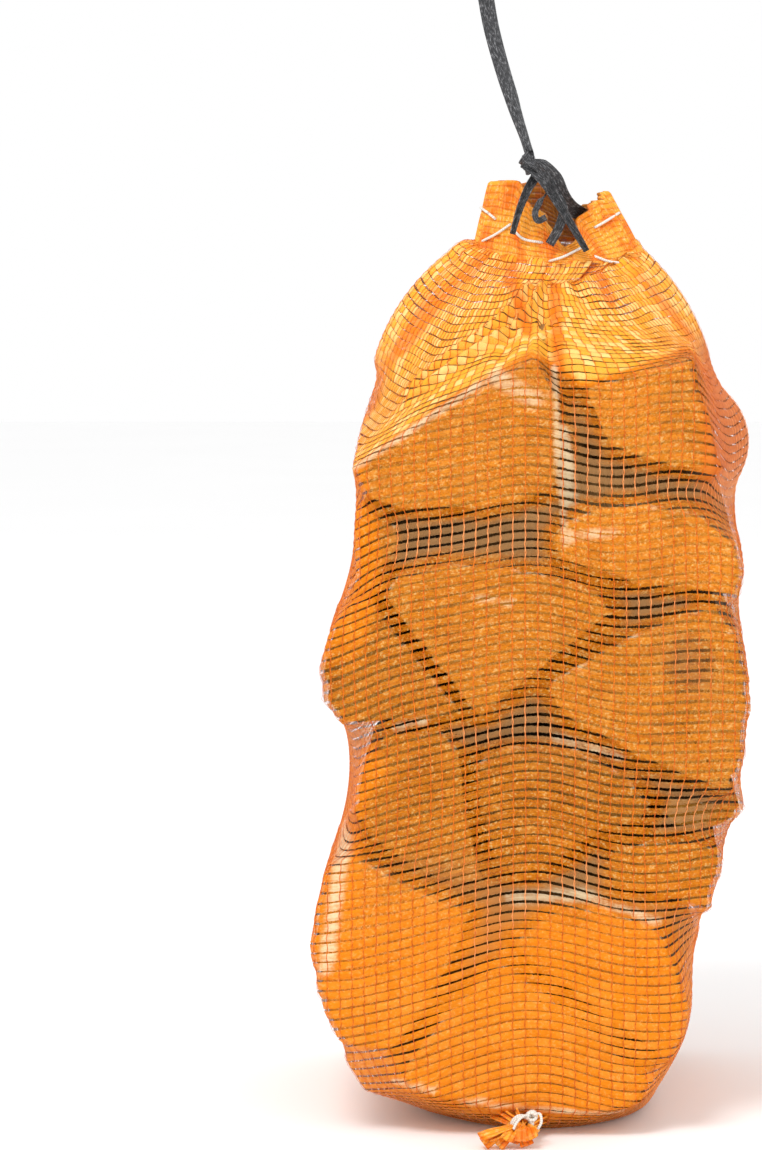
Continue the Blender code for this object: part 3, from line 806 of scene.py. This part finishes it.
class Skin:
    """The net as one surface round the logs: a distance out along each ray.

    Rays are level from the axis up to DOME_BASE, and rise from the axis there at growing angles
    above it. The skin relaxes towards its neighbours' mean, mostly round the bag, and is pushed
    out wherever a log would come through it."""

    def __init__(self, columns, rings, points):
        self.columns = columns
        even = np.arange(columns) * (TURN / columns)
        self.angles = even + CORNER_CROWDING / 4 * np.sin(4 * even)
        top = DOME_BASE + DOME_PITCH * math.radians(DOME_TOP_ANGLE)
        self.places = np.linspace(0, top, rings)
        lift = np.maximum(self.places - DOME_BASE, 0) / DOME_PITCH
        self.origins = np.zeros((rings, columns, 3))
        self.origins[..., 0], self.origins[..., 1] = BAG_CENTRE
        self.origins[..., 2] = np.minimum(self.places, DOME_BASE)[:, None]
        flat, up = np.cos(lift)[:, None], np.sin(lift)[:, None]
        parts = [flat * np.cos(self.angles), flat * np.sin(self.angles), np.repeat(up, columns, axis=1)]
        self.directions = np.stack(parts, axis=-1)
        self.lift = np.degrees(lift)
        self.seam_step = math.degrees(lift[-1] - lift[-2]) / SEAM_ANGLE_GAP
        self.meet(points)

    def meet(self, points):
        """Finds each log point's distance out and the four skin points round its ray."""
        dx, dy = points[:, 0] - BAG_CENTRE[0], points[:, 1] - BAG_CENTRE[1]
        out = np.hypot(dx, dy)
        above = np.maximum(points[:, 2] - DOME_BASE, 0)
        place = np.where(above > 0, DOME_BASE + DOME_PITCH * np.arctan2(above, out), points[:, 2])
        near = np.hypot(out, above)
        used = (place < self.places[-1]) & (near > 70)
        dx, dy, place, near = dx[used], dy[used], place[used], near[used]
        angles = np.append(self.angles, TURN)
        turn = np.arctan2(dy, dx) % TURN
        ring = np.clip(np.searchsorted(self.places, place) - 1, 0, len(self.places) - 2)
        column = np.clip(np.searchsorted(angles, turn, side="right") - 1, 0, self.columns - 1)
        up = np.clip((place - self.places[ring]) / (self.places[ring + 1] - self.places[ring]), 0, 1)
        gap = angles[column + 1] - angles[column]
        sides = [np.sin(angles[column + 1] - turn), np.sin(turn - angles[column])] / np.sin(gap)
        following = (column + 1) % self.columns
        self.corners = [(r, c) for r in (ring, ring + 1) for c in (column, following)]
        self.weights = [level * side for level in (1 - up, up) for side in sides]
        self.total = sum(w * w for w in self.weights)
        self.near = near

    def pushed(self, radius, clearance):
        inverse = sum(w / radius[corner] for w, corner in zip(self.weights, self.corners))
        short = self.near + clearance - 1 / inverse
        low = np.flatnonzero(short > 0)
        push = np.zeros_like(radius)
        for weight, (ring, column) in zip(self.weights, self.corners):
            np.maximum.at(push, (ring[low], column[low]), (short * weight / self.total)[low])
        return radius + push

    def backing(self, radius):
        """1 where wood stands close behind the net, and 0 over a gap between logs."""
        inverse = sum(w / radius[corner] for w, corner in zip(self.weights, self.corners))
        room = np.full(radius.shape, NO_WOOD)
        for corner in self.corners:
            np.minimum.at(room, corner, 1 / inverse - self.near)
        room = np.minimum(room, np.minimum(np.roll(room, 1, axis=1), np.roll(room, -1, axis=1)))
        room[1:-1] = np.minimum(room[1:-1], np.minimum(room[:-2], room[2:]))
        return blurred(1 - smoothstep(5, 13, room), 1)

    def base(self):
        x = BAG_CENTRE[0] + BASE_HALF_WIDTHS[0] * np.cos(self.angles)
        y = BAG_CENTRE[1] + BASE_HALF_WIDTHS[1] * np.sin(self.angles)
        return np.column_stack([x, y, np.full(self.columns, 0.3)])

    def slack(self):
        """The least reach of the loose net on both shoulders, which stands off the logs."""
        to_right = np.cos(self.angles)
        right_share, left_share = np.clip(to_right, 0, 1), np.clip(-to_right, 0.5, 1)
        reach = SIDE_SLACK + SIDE_SLACK_RISE * (self.lift - SIDE_SLACK_FROM)
        reach = np.where(self.lift > SIDE_SLACK_FROM, reach, 0)[:, None] * to_right**2
        reach = reach * (1 + 0.05 * right_share)
        bulge = np.exp(-(((self.places - RIGHT_BULGE_PLACE) / RIGHT_BULGE_WIDTH) ** 2))
        right = RIGHT_BULGE * bulge[:, None] * right_share**2
        left = np.interp(self.places, *np.transpose(LEFT_BASE))[:, None]
        left = left * smoothstep(0.5, 0.7, -to_right) / left_share
        return np.maximum(np.maximum(reach, right), left)

    def points(self, radius):
        found = self.origins + self.directions * radius[..., None]
        found[0] = self.base()
        return found

    def relaxed(self, radius, steps):
        seam = oval(self.angles, SEAM_CENTRE, SEAM_HALF_WIDTHS, seam_heights(self.angles))
        slack = self.slack()
        for _ in range(steps):
            skin = self.points(radius)
            beyond = skin[-1] + (seam - skin[-1]) * self.seam_step
            padded = np.concatenate([skin, beyond[None]])
            hoop = (np.roll(skin, 1, axis=1) + np.roll(skin, -1, axis=1)) / 2
            up_down = (padded[:-2] + padded[2:]) / 2
            pulled = HOOP_PULL * hoop[1:] + (1 - HOOP_PULL) * up_down
            radius[1:] = ((pulled - self.origins[1:]) * self.directions[1:]).sum(axis=2)
            radius = self.pushed(np.maximum(radius, slack), NET_CLEARANCE)
        return radius


def from_seam(points):
    """Level directions out from the middle of the seam."""
    return unit((points - np.array([*SEAM_CENTRE, 0])) * [1, 1, 0])


def oval(angles, centre, half_widths, heights):
    x = centre[0] + half_widths[0] * np.cos(angles)
    y = centre[1] + half_widths[1] * np.sin(angles)
    return np.column_stack([x, y, heights])


# X and Z of the top logs' front edges, above which the net lies over their lit upper sides
LIT_EDGE = [(-112, 380), (-106, 384), (-50, 425), (0, 453), (14, 446), (29, 434)]
LIT_EDGE += [(91, 455), (104, 440), (125, 420)]

# Lines in X and Z along which the net's folds get painted shade, and along which its tapes get painted
# highlights where they catch the light, with widths
FOLD_STREAKS = [((-30, 513), (-76, 455), 4.5), ((-47, 507), (-95, 430), 4), ((14, 490), (16, 447), 4)]
FOLD_STREAKS += [((-14, 503), (-2, 466), 3.5), ((38, 505), (47, 482), 3.5), ((62, 500), (96, 462), 4.5)]
PALE_STREAKS = [((13, 445), (20, 345), 2.6), ((-20, 440), (2, 428), 7), ((-104, 386), (-30, 436), 2.5)]
PALE_STREAKS += [((24, 350), (48, 352), 3.5), ((-40, 316), (-10, 312), 2.2), ((-78, 239), (-60, 244), 3)]
PALE_STREAKS += [((18, 408), (23, 372), 5.5), ((14, 234), (52, 223), 3.4)]
PALE_STREAKS += [((-12, 141), (30, 143), 5), ((30, 143), (74, 126), 3.5)]
PALE_STREAKS += [((-80, 33), (-55, 27), 2.8), ((-41, 22), (54, 12), 2.8), ((-108, 172), (-118, 100), 6)]


def seam_heights(angles):
    return 514 - 3 * np.cos(angles) + 7 * np.sin(angles)


def mouth_heights(angles):
    """The hem's upper edge: an ear each side of the dip below the knot."""
    degrees = np.degrees(angles)
    left_ear = 13 * smoothstep(88, 64, np.abs(degrees - 165))
    return 539 + left_ear + 8 * bump(degrees, 356, 24) - 24 * bump(degrees, 287, 19)


def finer(radius, columns, rings):
    """The same distances on a finer grid, by linear blends round the bag and then up it."""
    old_rings, old_columns = radius.shape
    wrapped = np.concatenate([radius, radius[:, :1]], axis=1)
    place = np.linspace(0, old_columns, columns, endpoint=False)
    low = place.astype(int)
    part = place - low
    wide = wrapped[:, low] * (1 - part) + wrapped[:, low + 1] * part
    place = np.linspace(0, old_rings - 1, rings)
    low = np.minimum(place.astype(int), old_rings - 2)
    part = (place - low)[:, None]
    return wide[low] * (1 - part) + wide[low + 1] * part


# The pleats' number round the bag, height, reach below the seam and seed
PLEATS = [(46, 1.5, 16, 1), (31, 1.8, 26, 2), (21, 1.9, 42, 3), (13, 1.6, 66, 4)]


def pleats(angles, drop):
    """Folds that run down from the seam: many small ones near it, fewer and wider ones lower down.

    Each is a sine round the bag whose height dies away with the distance below the seam."""
    drop = np.broadcast_to(drop, (len(drop), len(angles)))
    turn = np.broadcast_to(angles / TURN, drop.shape)
    drifting = turn + 0.006 * noise(turn, drop / 400, (6, 5), 401)
    total = np.zeros(drop.shape)
    for count, height, reach, seed in PLEATS:
        phase = np.random.default_rng(500 + seed).uniform(0, TURN)
        swell = 0.75 + 0.5 * noise(turn, drop / 900, (11, 2), 410 + seed)
        total = total + height * swell * np.sin(TURN * count * drifting + phase) * np.exp(-drop / reach)
    return total


def near_line(x, z, start, end, width):
    """1 on the line from start to end in X and Z, falling as a bell to 0 over its width."""
    way = np.subtract(end, start)
    share = np.clip(((x - start[0]) * way[0] + (z - start[1]) * way[1]) / (way @ way), 0, 1)
    away = np.hypot(x - start[0] - share * way[0], z - start[1] - share * way[1])
    return np.exp(-((away / width) ** 2))


def big_folds(degrees, lift):
    """The deep creases and the two ridges that run down the front from the seam."""
    crease = -9 * bump(degrees, 275 + 3 * np.sin(lift / 9), 4.2) * smoothstep(10, 26, lift)
    crease = crease - 5 * bump(degrees, 262 - lift * 0.1, 3.2) * smoothstep(22, 38, lift)
    crease = crease * smoothstep(64, 50, lift)
    slant = (46 - lift) * 0.95
    ridge = 7 * bump(degrees, 254 - slant, 2.3) * smoothstep(14, 24, lift)
    return crease + (ridge + 5 * bump(degrees, 243 - slant, 2.0) * smoothstep(18, 30, lift))


def net_looks(rings, backed, folds, drop):
    """What the net's materials know at each point: how far wood backs it, how thick it looks and where it
    lies over lit wood, the painted shade on its right shoulder, the folds' shade and the pale streaks of
    painted highlight."""
    x, z = rings[..., 0], rings[..., 2]
    front = smoothstep(10, -40, rings[..., 1])
    knot_z = z - KNOT_PLACE[1]
    knot_x = x - KNOT_PLACE[0] + 0.5 * knot_z
    off_knot = (knot_x / KNOT_SIZE[0]) ** 2 + (knot_z / KNOT_SIZE[1]) ** 2
    off_knot = off_knot + 0.5 * noise((x % 60) / 60, (z % 60) / 60, (7, 5), 430)
    backed = backed * (1 - 0.5 * front * np.exp(-np.clip(off_knot, 0, 9)))
    level = z - np.interp(x, *np.transpose(LIT_EDGE))
    lit = smoothstep(-3, 4, level) * front + smoothstep(405, 470, z) * (1 - front)
    shoulder = smoothstep(90, 106, x) * smoothstep(350, 385, z)
    left_edge = 12 * np.exp(-(((z - 335) / 42) ** 2)) + 14 * np.exp(-(((z - 216) / 16) ** 2)) - 90
    left_edge = left_edge + 24 * smoothstep(66, 42, z)
    left = smoothstep(left_edge, left_edge - 14, x) * smoothstep(8, 20, z)
    left = left * (1 - np.exp(-(((z - 258) / 26) ** 2)))
    # Painted light: the lit upper sides count fully here, so the tape over them turns yellow and pale.
    dense_and_lit = np.maximum(np.maximum(lit, 0.66 * smoothstep(190, 80, z)), 0.55 * shoulder)
    dense_and_lit = np.maximum(dense_and_lit, 0.6 * left)
    # Painted shade on the right shoulder, fading out towards the collar.
    shaded_shoulder = shoulder * smoothstep(485, 450, z)
    backed = np.maximum(np.maximum(backed, lit), 0.8 * left)
    # Painted shade in the pleats' valleys near the seam.
    valley = np.clip(-folds / 2.6, 0, 1) * smoothstep(60, 10, drop)
    streaks = sum(near_line(x, z, *streak) for streak in FOLD_STREAKS) * front
    pale = sum(near_line(x, z, *streak) for streak in PALE_STREAKS) * front
    return np.stack([backed, dense_and_lit, shaded_shoulder, np.clip(valley + streaks, 0, 1), np.clip(pale, 0, 1)], axis=-1)


def shaped_net():
    """The whole net: its underside, the relaxed skin with its folds, and the collar up to the seam."""
    radius = np.full((2, 2), float(START_RADIUS))
    for columns, rings, steps in SKIN_LEVELS:
        skin = Skin(columns, rings, log_points)
        radius = skin.relaxed(finer(radius, columns, rings), steps)
    angles = skin.angles
    seam = oval(angles, SEAM_CENTRE, SEAM_HALF_WIDTHS, seam_heights(angles))
    top = skin.points(radius)[-1]
    shares = np.linspace(0, 1, COLLAR_RINGS + 1)[1:, None, None]
    collar = top + (seam - top) * shares
    collar[..., 2] += (9 * np.cos(angles) ** 2 - 5) * np.sin(np.pi * shares[..., 0])
    outline = np.concatenate([skin.points(radius), collar])
    steps = np.linalg.norm(np.diff(outline, axis=0), axis=2).mean(axis=1)
    drop = (np.concatenate([[0], np.cumsum(steps)]) - steps.sum()) * -1
    folds = pleats(angles, drop[:, None])
    radius = radius + folds[: len(radius)] + big_folds(np.degrees(angles)[None], skin.lift[:, None])
    for _ in range(8):
        radius[1:] = skin.pushed(np.maximum(radius, 20), 3.0)[1:]
    body = skin.points(radius)
    blend = folds[len(radius) :, :, None]
    top_extra = (body[-1] - outline[len(body) - 1]) * (1 - shares) ** 2
    collar = collar + from_seam(collar) * blend + top_extra * 0.5
    centre = np.array([*BAG_CENTRE, 0.3])
    inner = centre + (body[0] - centre) * np.linspace(0.04, 1, FLOOR_RINGS, endpoint=False)[:, None, None]
    rings = np.concatenate([body, collar])
    backed = np.concatenate([skin.backing(radius), np.zeros((COLLAR_RINGS, len(angles)))])
    return inner, rings, net_looks(rings, backed, folds, drop[:, None])


underside, net_skin, net_state = shaped_net()


class Surface:
    """Rings of points with their outward normals, read at any distance along each column."""

    def __init__(self, rings, state):
        self.rings = rings
        self.state = state
        around = np.roll(rings, -1, axis=1) - np.roll(rings, 1, axis=1)
        self.around = unit(around)
        self.normals = unit(np.cross(around, np.gradient(rings, axis=0)))
        steps = blurred(np.linalg.norm(np.diff(rings, axis=0), axis=2), 60)
        self.length = np.concatenate([np.zeros((1, rings.shape[1])), np.cumsum(steps, axis=0)])

    def at(self, distance, columns):
        """Points, normals and round directions at these distances, one column of them each."""
        index = np.arange(len(self.rings))
        found = [np.interp(distance[:, k], self.length[:, c], index) for k, c in enumerate(columns)]
        place = np.stack(found, axis=1)
        low = np.clip(place.astype(int), 0, len(self.rings) - 2)
        part = (place - low)[..., None]
        picked = [grid[low, columns] * (1 - part) + grid[low + 1, columns] * part
                  for grid in (self.rings, self.normals, self.around, self.state)]
        return picked[0], unit(picked[1]), unit(picked[2]), picked[3]


def net_rows(surface, rows, waviness):
    """Each weft's distance along every column: even shares of it, with a slow wander."""
    total = surface.length[-1]
    columns = len(total)
    share = (np.arange(rows) + 0.5) / rows
    turn = np.broadcast_to(np.arange(columns) / columns, (rows, columns))
    level = np.broadcast_to(share[:, None], (rows, columns))
    wander = 1.7 * noise(turn, level, (13, 9), 601) + 0.9 * noise(turn, level, (37, 31), 602)
    fade = np.minimum(1, np.minimum(share, 1 - share) * 14)[:, None]
    return share[:, None] * total + wander * fade * waviness


def weft_grids(surface, rows, first_row, waviness=1.0):
    """Two edges of each weft tape, narrower where a warp pair grips it."""
    centre = net_rows(surface, rows, waviness)
    columns = np.arange(centre.shape[1])
    pinch = np.where(columns % 2 == 0, 0.35, 0.0)
    turn = np.broadcast_to(columns / len(columns), centre.shape)
    level = np.broadcast_to(((np.arange(rows) + first_row) / 160)[:, None], centre.shape)
    index = np.clip(np.arange(rows) * len(surface.state) // rows, 0, len(surface.state) - 1)
    width = TAPE_WIDTH - pinch + 0.3 * noise(turn, level, (90, 160), 603)
    width = width + 0.35 * surface.state[index, :, 1]
    edges, weaves, states = [], [], []
    for side in (-1, 1):
        distance = np.clip(centre + side * width / 2, 0, surface.length[-1])
        points, normals, _, state = surface.at(distance, columns)
        lean = 0.25 * side * noise(turn, level, (60, 160), 604)[..., None]
        edges.append(points + normals * (lean + np.where(columns % 2 == 0, -0.1, 0.15)[None, :, None]))
        weaves.append(channels(centre.shape, columns / 2, (np.arange(rows) + first_row)[:, None], side))
        states.append(state)
    return np.stack(edges, axis=1), np.stack(weaves, axis=1), np.stack(states, axis=1)


def strip_faces(strips, columns):
    """Faces of closed strips of two edges each."""
    first = np.arange(strips)[:, None, None] * (2 * columns)
    return (first + grid_faces(2, columns)[None]).reshape(-1, 4)


body_surface = Surface(net_skin, net_state)
floor_state = np.repeat(net_state[:1], FLOOR_RINGS + 1, axis=0)
floor_surface = Surface(np.concatenate([underside, net_skin[:1]]), floor_state)


def make_wefts():
    body, body_weave, body_state = weft_grids(body_surface, BODY_ROWS, FLOOR_ROWS)
    floor, floor_weave, floor_state = weft_grids(floor_surface, FLOOR_ROWS, 0, 0.3)
    points = np.concatenate([floor.reshape(-1, 3), body.reshape(-1, 3)])
    weave = np.concatenate([floor_weave.reshape(-1, 3), body_weave.reshape(-1, 3)])
    faces = [strip_faces(BODY_ROWS + FLOOR_ROWS, body.shape[2])]
    state = np.concatenate([floor_state.reshape(-1, 5), body_state.reshape(-1, 5)])
    attributes = {"weave": weave, "backing": state[:, :3], "fold": state[:, [3, 4, 4]]}
    return mesh_piece("net_weft_tapes", points, faces, weft_finish, attributes)


def warp_path(front):
    """Each warp strand's points: over or under every weft, and crossing its partner between wefts."""
    columns = np.arange(0, 2 * WARPS, 2)
    centre = net_rows(body_surface, BODY_ROWS, 1.0)[:, columns]
    between = (centre[:-1] + centre[1:]) / 2
    distance = np.empty((2 * BODY_ROWS + 1, len(columns)))
    distance[1:-1:2], distance[2:-2:2] = centre, between
    distance[0], distance[-1] = 0, body_surface.length[-1, columns]
    points, normals, around, state = body_surface.at(distance, columns)
    number = np.arange(len(distance))
    over = np.where(number % 2 == 1, 0.45, 0.05)[:, None, None] * (1 if front else -1)
    swing = np.where(number % 4 == 1, 0.42, np.where(number % 4 == 3, -0.42, 0))[:, None, None]
    points = points + normals * over + around * swing * (1 if front else -1)
    return points, normals, around, state[..., :3]


def make_warps(front):
    points, normals, around, state = warp_path(front)
    half = 0.25 if front else 0.22
    crest = [points + normals * 0.2] if front else []
    lanes = [points - around * half, *crest, points + around * half]
    grid = np.stack(lanes, axis=2).transpose(1, 0, 2, 3)
    warps, steps, wide = grid.shape[:3]
    first = np.arange(warps)[:, None, None] * (steps * wide)
    faces = (first + grid_faces(steps, wide, closed=False)[None]).reshape(-1, 4)
    name = "net_warp_front_strands" if front else "net_warp_rear_strands"
    backing = np.broadcast_to(state.transpose(1, 0, 2)[:, :, None], grid.shape)
    return mesh_piece(name, grid, [faces], warp_finish, {"backing": backing})


net_weft = make_wefts()
warp_front = make_warps(True)
warp_rear = make_warps(False)
for piece in (net_weft, warp_front, warp_rear):
    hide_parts("net_bag")


# Hem

HEM_SHARES = np.concatenate([np.linspace(-0.12, 1, HEM_RISE), [1.03, 1.03], np.linspace(1, 0, 12)])
HEM_LAYERS = np.concatenate([np.linspace(0.7, 1.3, HEM_RISE), [0.6, -0.6], np.full(12, -1.3)])


def hem_points():
    """The hem: net folded over into two walls, gathered into folds that lean and vary in depth."""
    turns = np.arange(HEM_AROUND) * (TURN / HEM_AROUND)
    seam = oval(turns, SEAM_CENTRE, SEAM_HALF_WIDTHS, seam_heights(turns))
    mouth = oval(turns, MOUTH_CENTRE, MOUTH_HALF_WIDTHS, mouth_heights(turns))
    wall = seam + (mouth - seam) * HEM_SHARES[:, None, None]
    away = from_seam(wall)
    turn = np.broadcast_to(turns / TURN, wall.shape[:2])
    level = np.broadcast_to(np.clip(HEM_SHARES, 0, 1)[:, None], wall.shape[:2])
    drift = 0.012 * noise(turn, level * 0.9, (9, 2), 701)
    folds = 1.6 * np.sin(TURN * 27 * (turn + drift)) * (0.8 + 0.5 * noise(turn, level * 0.4, (13, 2), 702))
    folds = folds + 1.3 * np.sin(TURN * 16 * (turn + drift) + 1.3) + 0.9 * np.sin(TURN * 43 * turn + 0.6)
    folds = folds * (0.45 + 0.7 * level)
    sway = 1.8 * noise(turn, level * 0.9, (17, 3), 703)
    wall = wall + away * (folds + HEM_LAYERS[:, None])[..., None]
    wall[..., 2] += sway * level
    # 1 on the inner wall, which the material darkens as painted shade.
    inside = np.where(HEM_LAYERS > 0, 0, 1)[:, None]
    weave = channels(turn.shape, turn * 900, (HEM_SHARES * 31)[:, None], inside)
    # Painted shade in the folds' valleys, less towards the top.
    fold = channels(turn.shape, np.clip(-folds / 2.4, 0, 1) * (1.1 - 0.7 * level))
    return wall, {"weave": weave, "fold": fold}


hem_wall, hem_state = hem_points()
hem = mesh_piece("net_hem", hem_wall, [grid_faces(len(hem_wall), HEM_AROUND)], hem_finish, hem_state)
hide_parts("net_bag")


# Stitches: white thread on the hem, as X and Z of each visible run on the front

FRONT_STITCHES = [
    [(-30, 538), (-26, 535), (-21, 531)],
    [(-29, 518), (-21, 522), (-12, 528)],
    [(-10, 524), (-4, 519), (7, 517)],
    [(11, 506), (20, 509), (30, 514)],
    [(38, 509), (46, 506), (54, 505)],
    [(38, 526), (45, 530), (53, 535)],
]

# The rear stitches' spacing and reach, in steps of the hem
STITCH_PITCH = 22
STITCH_STEPS = 15


def on_front(points):
    """Points of the hem's outer wall nearest to these in X and Z."""
    outer = hem_wall[:HEM_RISE]
    front = outer.reshape(-1, 3)
    front = front[front[:, 1] < SEAM_CENTRE[1]]
    wanted = np.asarray(points, float)
    gap = np.linalg.norm(front[None, :, [0, 2]] - wanted[:, None], axis=2)
    found = front[gap.argmin(axis=1)]
    return np.column_stack([wanted[:, 0], found[:, 1], wanted[:, 1]])


def softened(points, passes=3):
    for _ in range(passes):
        points[1:-1] = (points[:-2] + 2 * points[1:-1] + points[2:]) / 4
    return points


def stitch_grids():
    """The stitches' visible runs, which dip into the hem at both ends: the front's, then the rear's."""
    grids = []
    for run in FRONT_STITCHES:
        flat = smooth_route([(x, 0, z) for x, z in run], 22)
        route = softened(on_front(flat[:, [0, 2]]))
        ends = np.sin(np.linspace(0, np.pi, len(route))) ** 0.5
        route[:, 1] -= 2.6 * ends - 0.6
        grids.append(round_grid(route, 0.8))
    for start in range(8, HEM_AROUND // 2 - STITCH_STEPS, STITCH_PITCH):
        level = 4 + (start // STITCH_PITCH) % 2
        route = softened(hem_wall[level, np.arange(start, start + STITCH_STEPS)])
        ends = np.sin(np.linspace(0, np.pi, len(route)))[:, None] ** 0.5
        grids.append(round_grid(route + from_seam(route) * (1.3 * ends - 0.7), 0.6))
    return grids


stitches = grids_piece("hem_stitches", stitch_grids(), thread_finish)
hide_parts("hem_thread")


# Tuft of the bottom seam and its tie

TUFT_TAPES = [(-29, 3.5, 7.5), (-27, 6, 3.0), (-23, 4, 5.5), (-19, 6, 2.0), (-14, 3, 6.0), (-10, 7, 3.4)]
TUFT_TAPES += [(-6, 4, 5.0), (-2, 6, 2.2), (1, 3, 7.0), (3, 8, 8.5)]
TIE_CENTRE = (-5, -129.5, 11)
TIE_ENDS = [
    [(1, -131, 17), (5, -134, 19), (6, -137, 15), (4, -138, 11)],
    [(0, -131, 17), (-4, -135, 18), (-8, -138, 15), (-10, -139, 11)],
]


def tuft_grids():
    """Tapes that run from within the bag's front face through the tie and spread out into a fan."""
    grids = []
    for number, (x, y, z) in enumerate(TUFT_TAPES):
        turn = number * 2.4
        right, up = math.cos(turn), math.sin(turn)
        neck = np.array([-5 + 2.6 * right, -130, 11 + 2.4 * up])
        root = np.array([-6 + 17 * right, -100, 11 + 8 * up])
        tip = np.array([x, -147 + y, z])
        middle = (neck + tip) / 2 + [0, -1.5, 1.6]
        route = smooth_route([root, root * 0.45 + neck * 0.55, neck, middle, tip], 28)
        share = np.linspace(0, 1, 28)
        sideways = twisting(route, (right, 0.1, up), (1, -0.2, 0.5 * math.sin(turn * 1.7)))
        width = 4.2 + 4.0 * smoothstep(0.45, 1, share)
        grids.append(tape_grid(route, sideways, width, 1.5 - 1.1 * smoothstep(0.45, 0.9, share)))
    return grids


tuft = grids_piece("seam_tuft", tuft_grids(), hem_finish)
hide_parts("net_bag")


def tie_grids():
    """Turns of thread round the tuft's neck, a knot in front of them and two loose ends."""
    turns = np.linspace(0, TURN * 3.2, 110)
    radius = 5.6 + 0.5 * np.sin(turns * 1.7)
    wound = np.column_stack([radius * np.cos(turns), 1.9 * (turns / TURN - 1.6), radius * np.sin(turns)])
    turns = np.linspace(0, TURN * 2.1, 80)
    knot = np.column_stack([2.4 * np.cos(turns), 2.0 * np.sin(turns * 1.5), 2.2 * np.sin(turns)])
    grids = [round_grid(wound + TIE_CENTRE, 1.0), round_grid(knot + TIE_CENTRE + [5.5, -1.5, 6], 1.1)]
    return grids + [round_grid(smooth_route(end, 20), 0.8) for end in TIE_ENDS]


tie = grids_piece("tuft_tie", tie_grids(), thread_finish)
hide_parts("bottom_tie")


# Knot, legs and loose end of the drawstring

LEFT_LEG = [(3, -17, 556), (-2, -20, 548), (-7, -22.5, 536), (-11, -23, 522)]
RIGHT_LEG = [(8, -18, 556), (14, -21, 544), (23, -24.5, 529), (33, -25, 512)]
HOOD = [(-3, -17, 563), (5, -21, 560), (12, -20.5, 553), (17, -16, 544), (23, -8, 538), (31, 4, 534)]
HOOD_WIDTHS = [8, 15, 16, 14, 11, 9]
LEG_STEPS = 36
LOOSE_END = [(14, -16, 547), (19, -19, 537), (17, -21.5, 527), (11, -22.5, 516)]
NECK = [(-4, -14, 578), (-1.5, -15.2, 571), (-0.5, -16.5, 565), (1, -17.5, 558)]
KNOT_MIDDLE = (-1.5, -16.5, 564)
OVER_KNOT = [(-3, -15, 569), (-2, -20, 566), (3, -22, 562), (7, -20, 558), (8, -16, 555)]
CURL = [(11, -17, 548), (6, -20.5, 542), (2.5, -22, 535), (4, -22.5, 530), (9, -21, 532)]


def knot_grids():
    """The drawstring's legs, hood and loose end, and the turns of tape round its knot."""
    legs = [
        (LEFT_LEG, np.linspace(10, 5, LEG_STEPS), 1.9, (1, 0.2, 0.4)),
        (RIGHT_LEG, np.linspace(12, 5.5, LEG_STEPS), 1.9, (1, 0.1, 0.6)),
        (HOOD, np.interp(np.linspace(0, 5, LEG_STEPS), np.arange(6), HOOD_WIDTHS), 0.9, (0.75, 0.25, 0.65)),
        (LOOSE_END, 6.0, 0.7, (1, 0.2, 0.3)),
        (CURL, 4.0, 0.8, (0.6, 0.2, 0.7)),
        (NECK, np.linspace(6.2, 9, LEG_STEPS), 1.25, (0.75, 0.6, 0.1)),
    ]
    grids = []
    for route, width, curl, sideways in legs:
        grids.append(tape_grid(smooth_route(route, LEG_STEPS), sideways, width, curl))
    turns = np.linspace(0, TURN, 90)
    tilt = np.array([[0.8, 0.0, -0.6], [0.0, 1.0, 0.0], [0.6, 0.0, 0.8]])
    for reach, offset, phase in ((4.4, -2.0, 0.0), (4.0, 2.4, 1.4)):
        height = offset + 1.6 * np.sin(turns + phase)
        ring = np.column_stack([reach * np.cos(turns), (reach - 0.4) * np.sin(turns), height])
        grids.append(tape_grid(ring @ tilt.T + KNOT_MIDDLE, tilt[:, 2] + 0.01, 6.0, 0.8))
    grids.append(tape_grid(smooth_route(OVER_KNOT, 50), (0.8, 0.1, 0.6), 5.5, 1.0))
    return grids


knot = grids_piece("drawstring_knot", knot_grids(), tape_finish)
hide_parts("drawstring")


# Floor and light

FLOOR_REACH = 9.0


def make_floor():
    paint = Paint("pale floor", Roughness=0.9)
    grain = paint.noise(paint.here(), 0.002)
    material = paint.finish(paint.mix(grain, (0.96, 0.96, 0.96), (0.985, 0.985, 0.985)))
    mesh = bpy.data.meshes.new("floor")
    corners = [(x * FLOOR_REACH, y * FLOOR_REACH, 0) for x, y in ((-1, -1), (1, -1), (1, 1), (-1, 1))]
    mesh.from_pydata(corners, [], [(0, 1, 2, 3)])
    mesh.materials.append(material)
    obj = in_scene("floor", mesh)


def add_light(name, place, target, size, power, color=(1, 1, 1)):
    data = bpy.data.lights.new(name, "AREA")
    data.size, data.energy, data.color = size, power, color
    obj = in_scene(name, data)
    obj.location = place
    obj.rotation_euler = (Vector(target) - Vector(place)).to_track_quat("-Z", "Y").to_euler()


def make_light():
    world = bpy.data.worlds.new("studio")
    world.use_nodes = True
    background = world.node_tree.nodes["Background"]
    background.inputs["Color"].default_value = (1, 1, 1, 1)
    background.inputs["Strength"].default_value = 1.0
    bpy.context.scene.world = world
    add_light("key", (-0.7, -1.5, 2.6), (0, 0, 0.35), 0.9, 38)
    add_light("fill", (1.8, -1.4, 1.0), (0, 0, 0.3), 1.6, 6)
    bpy.context.scene.view_settings.view_transform = "Standard"


make_floor()
make_light()
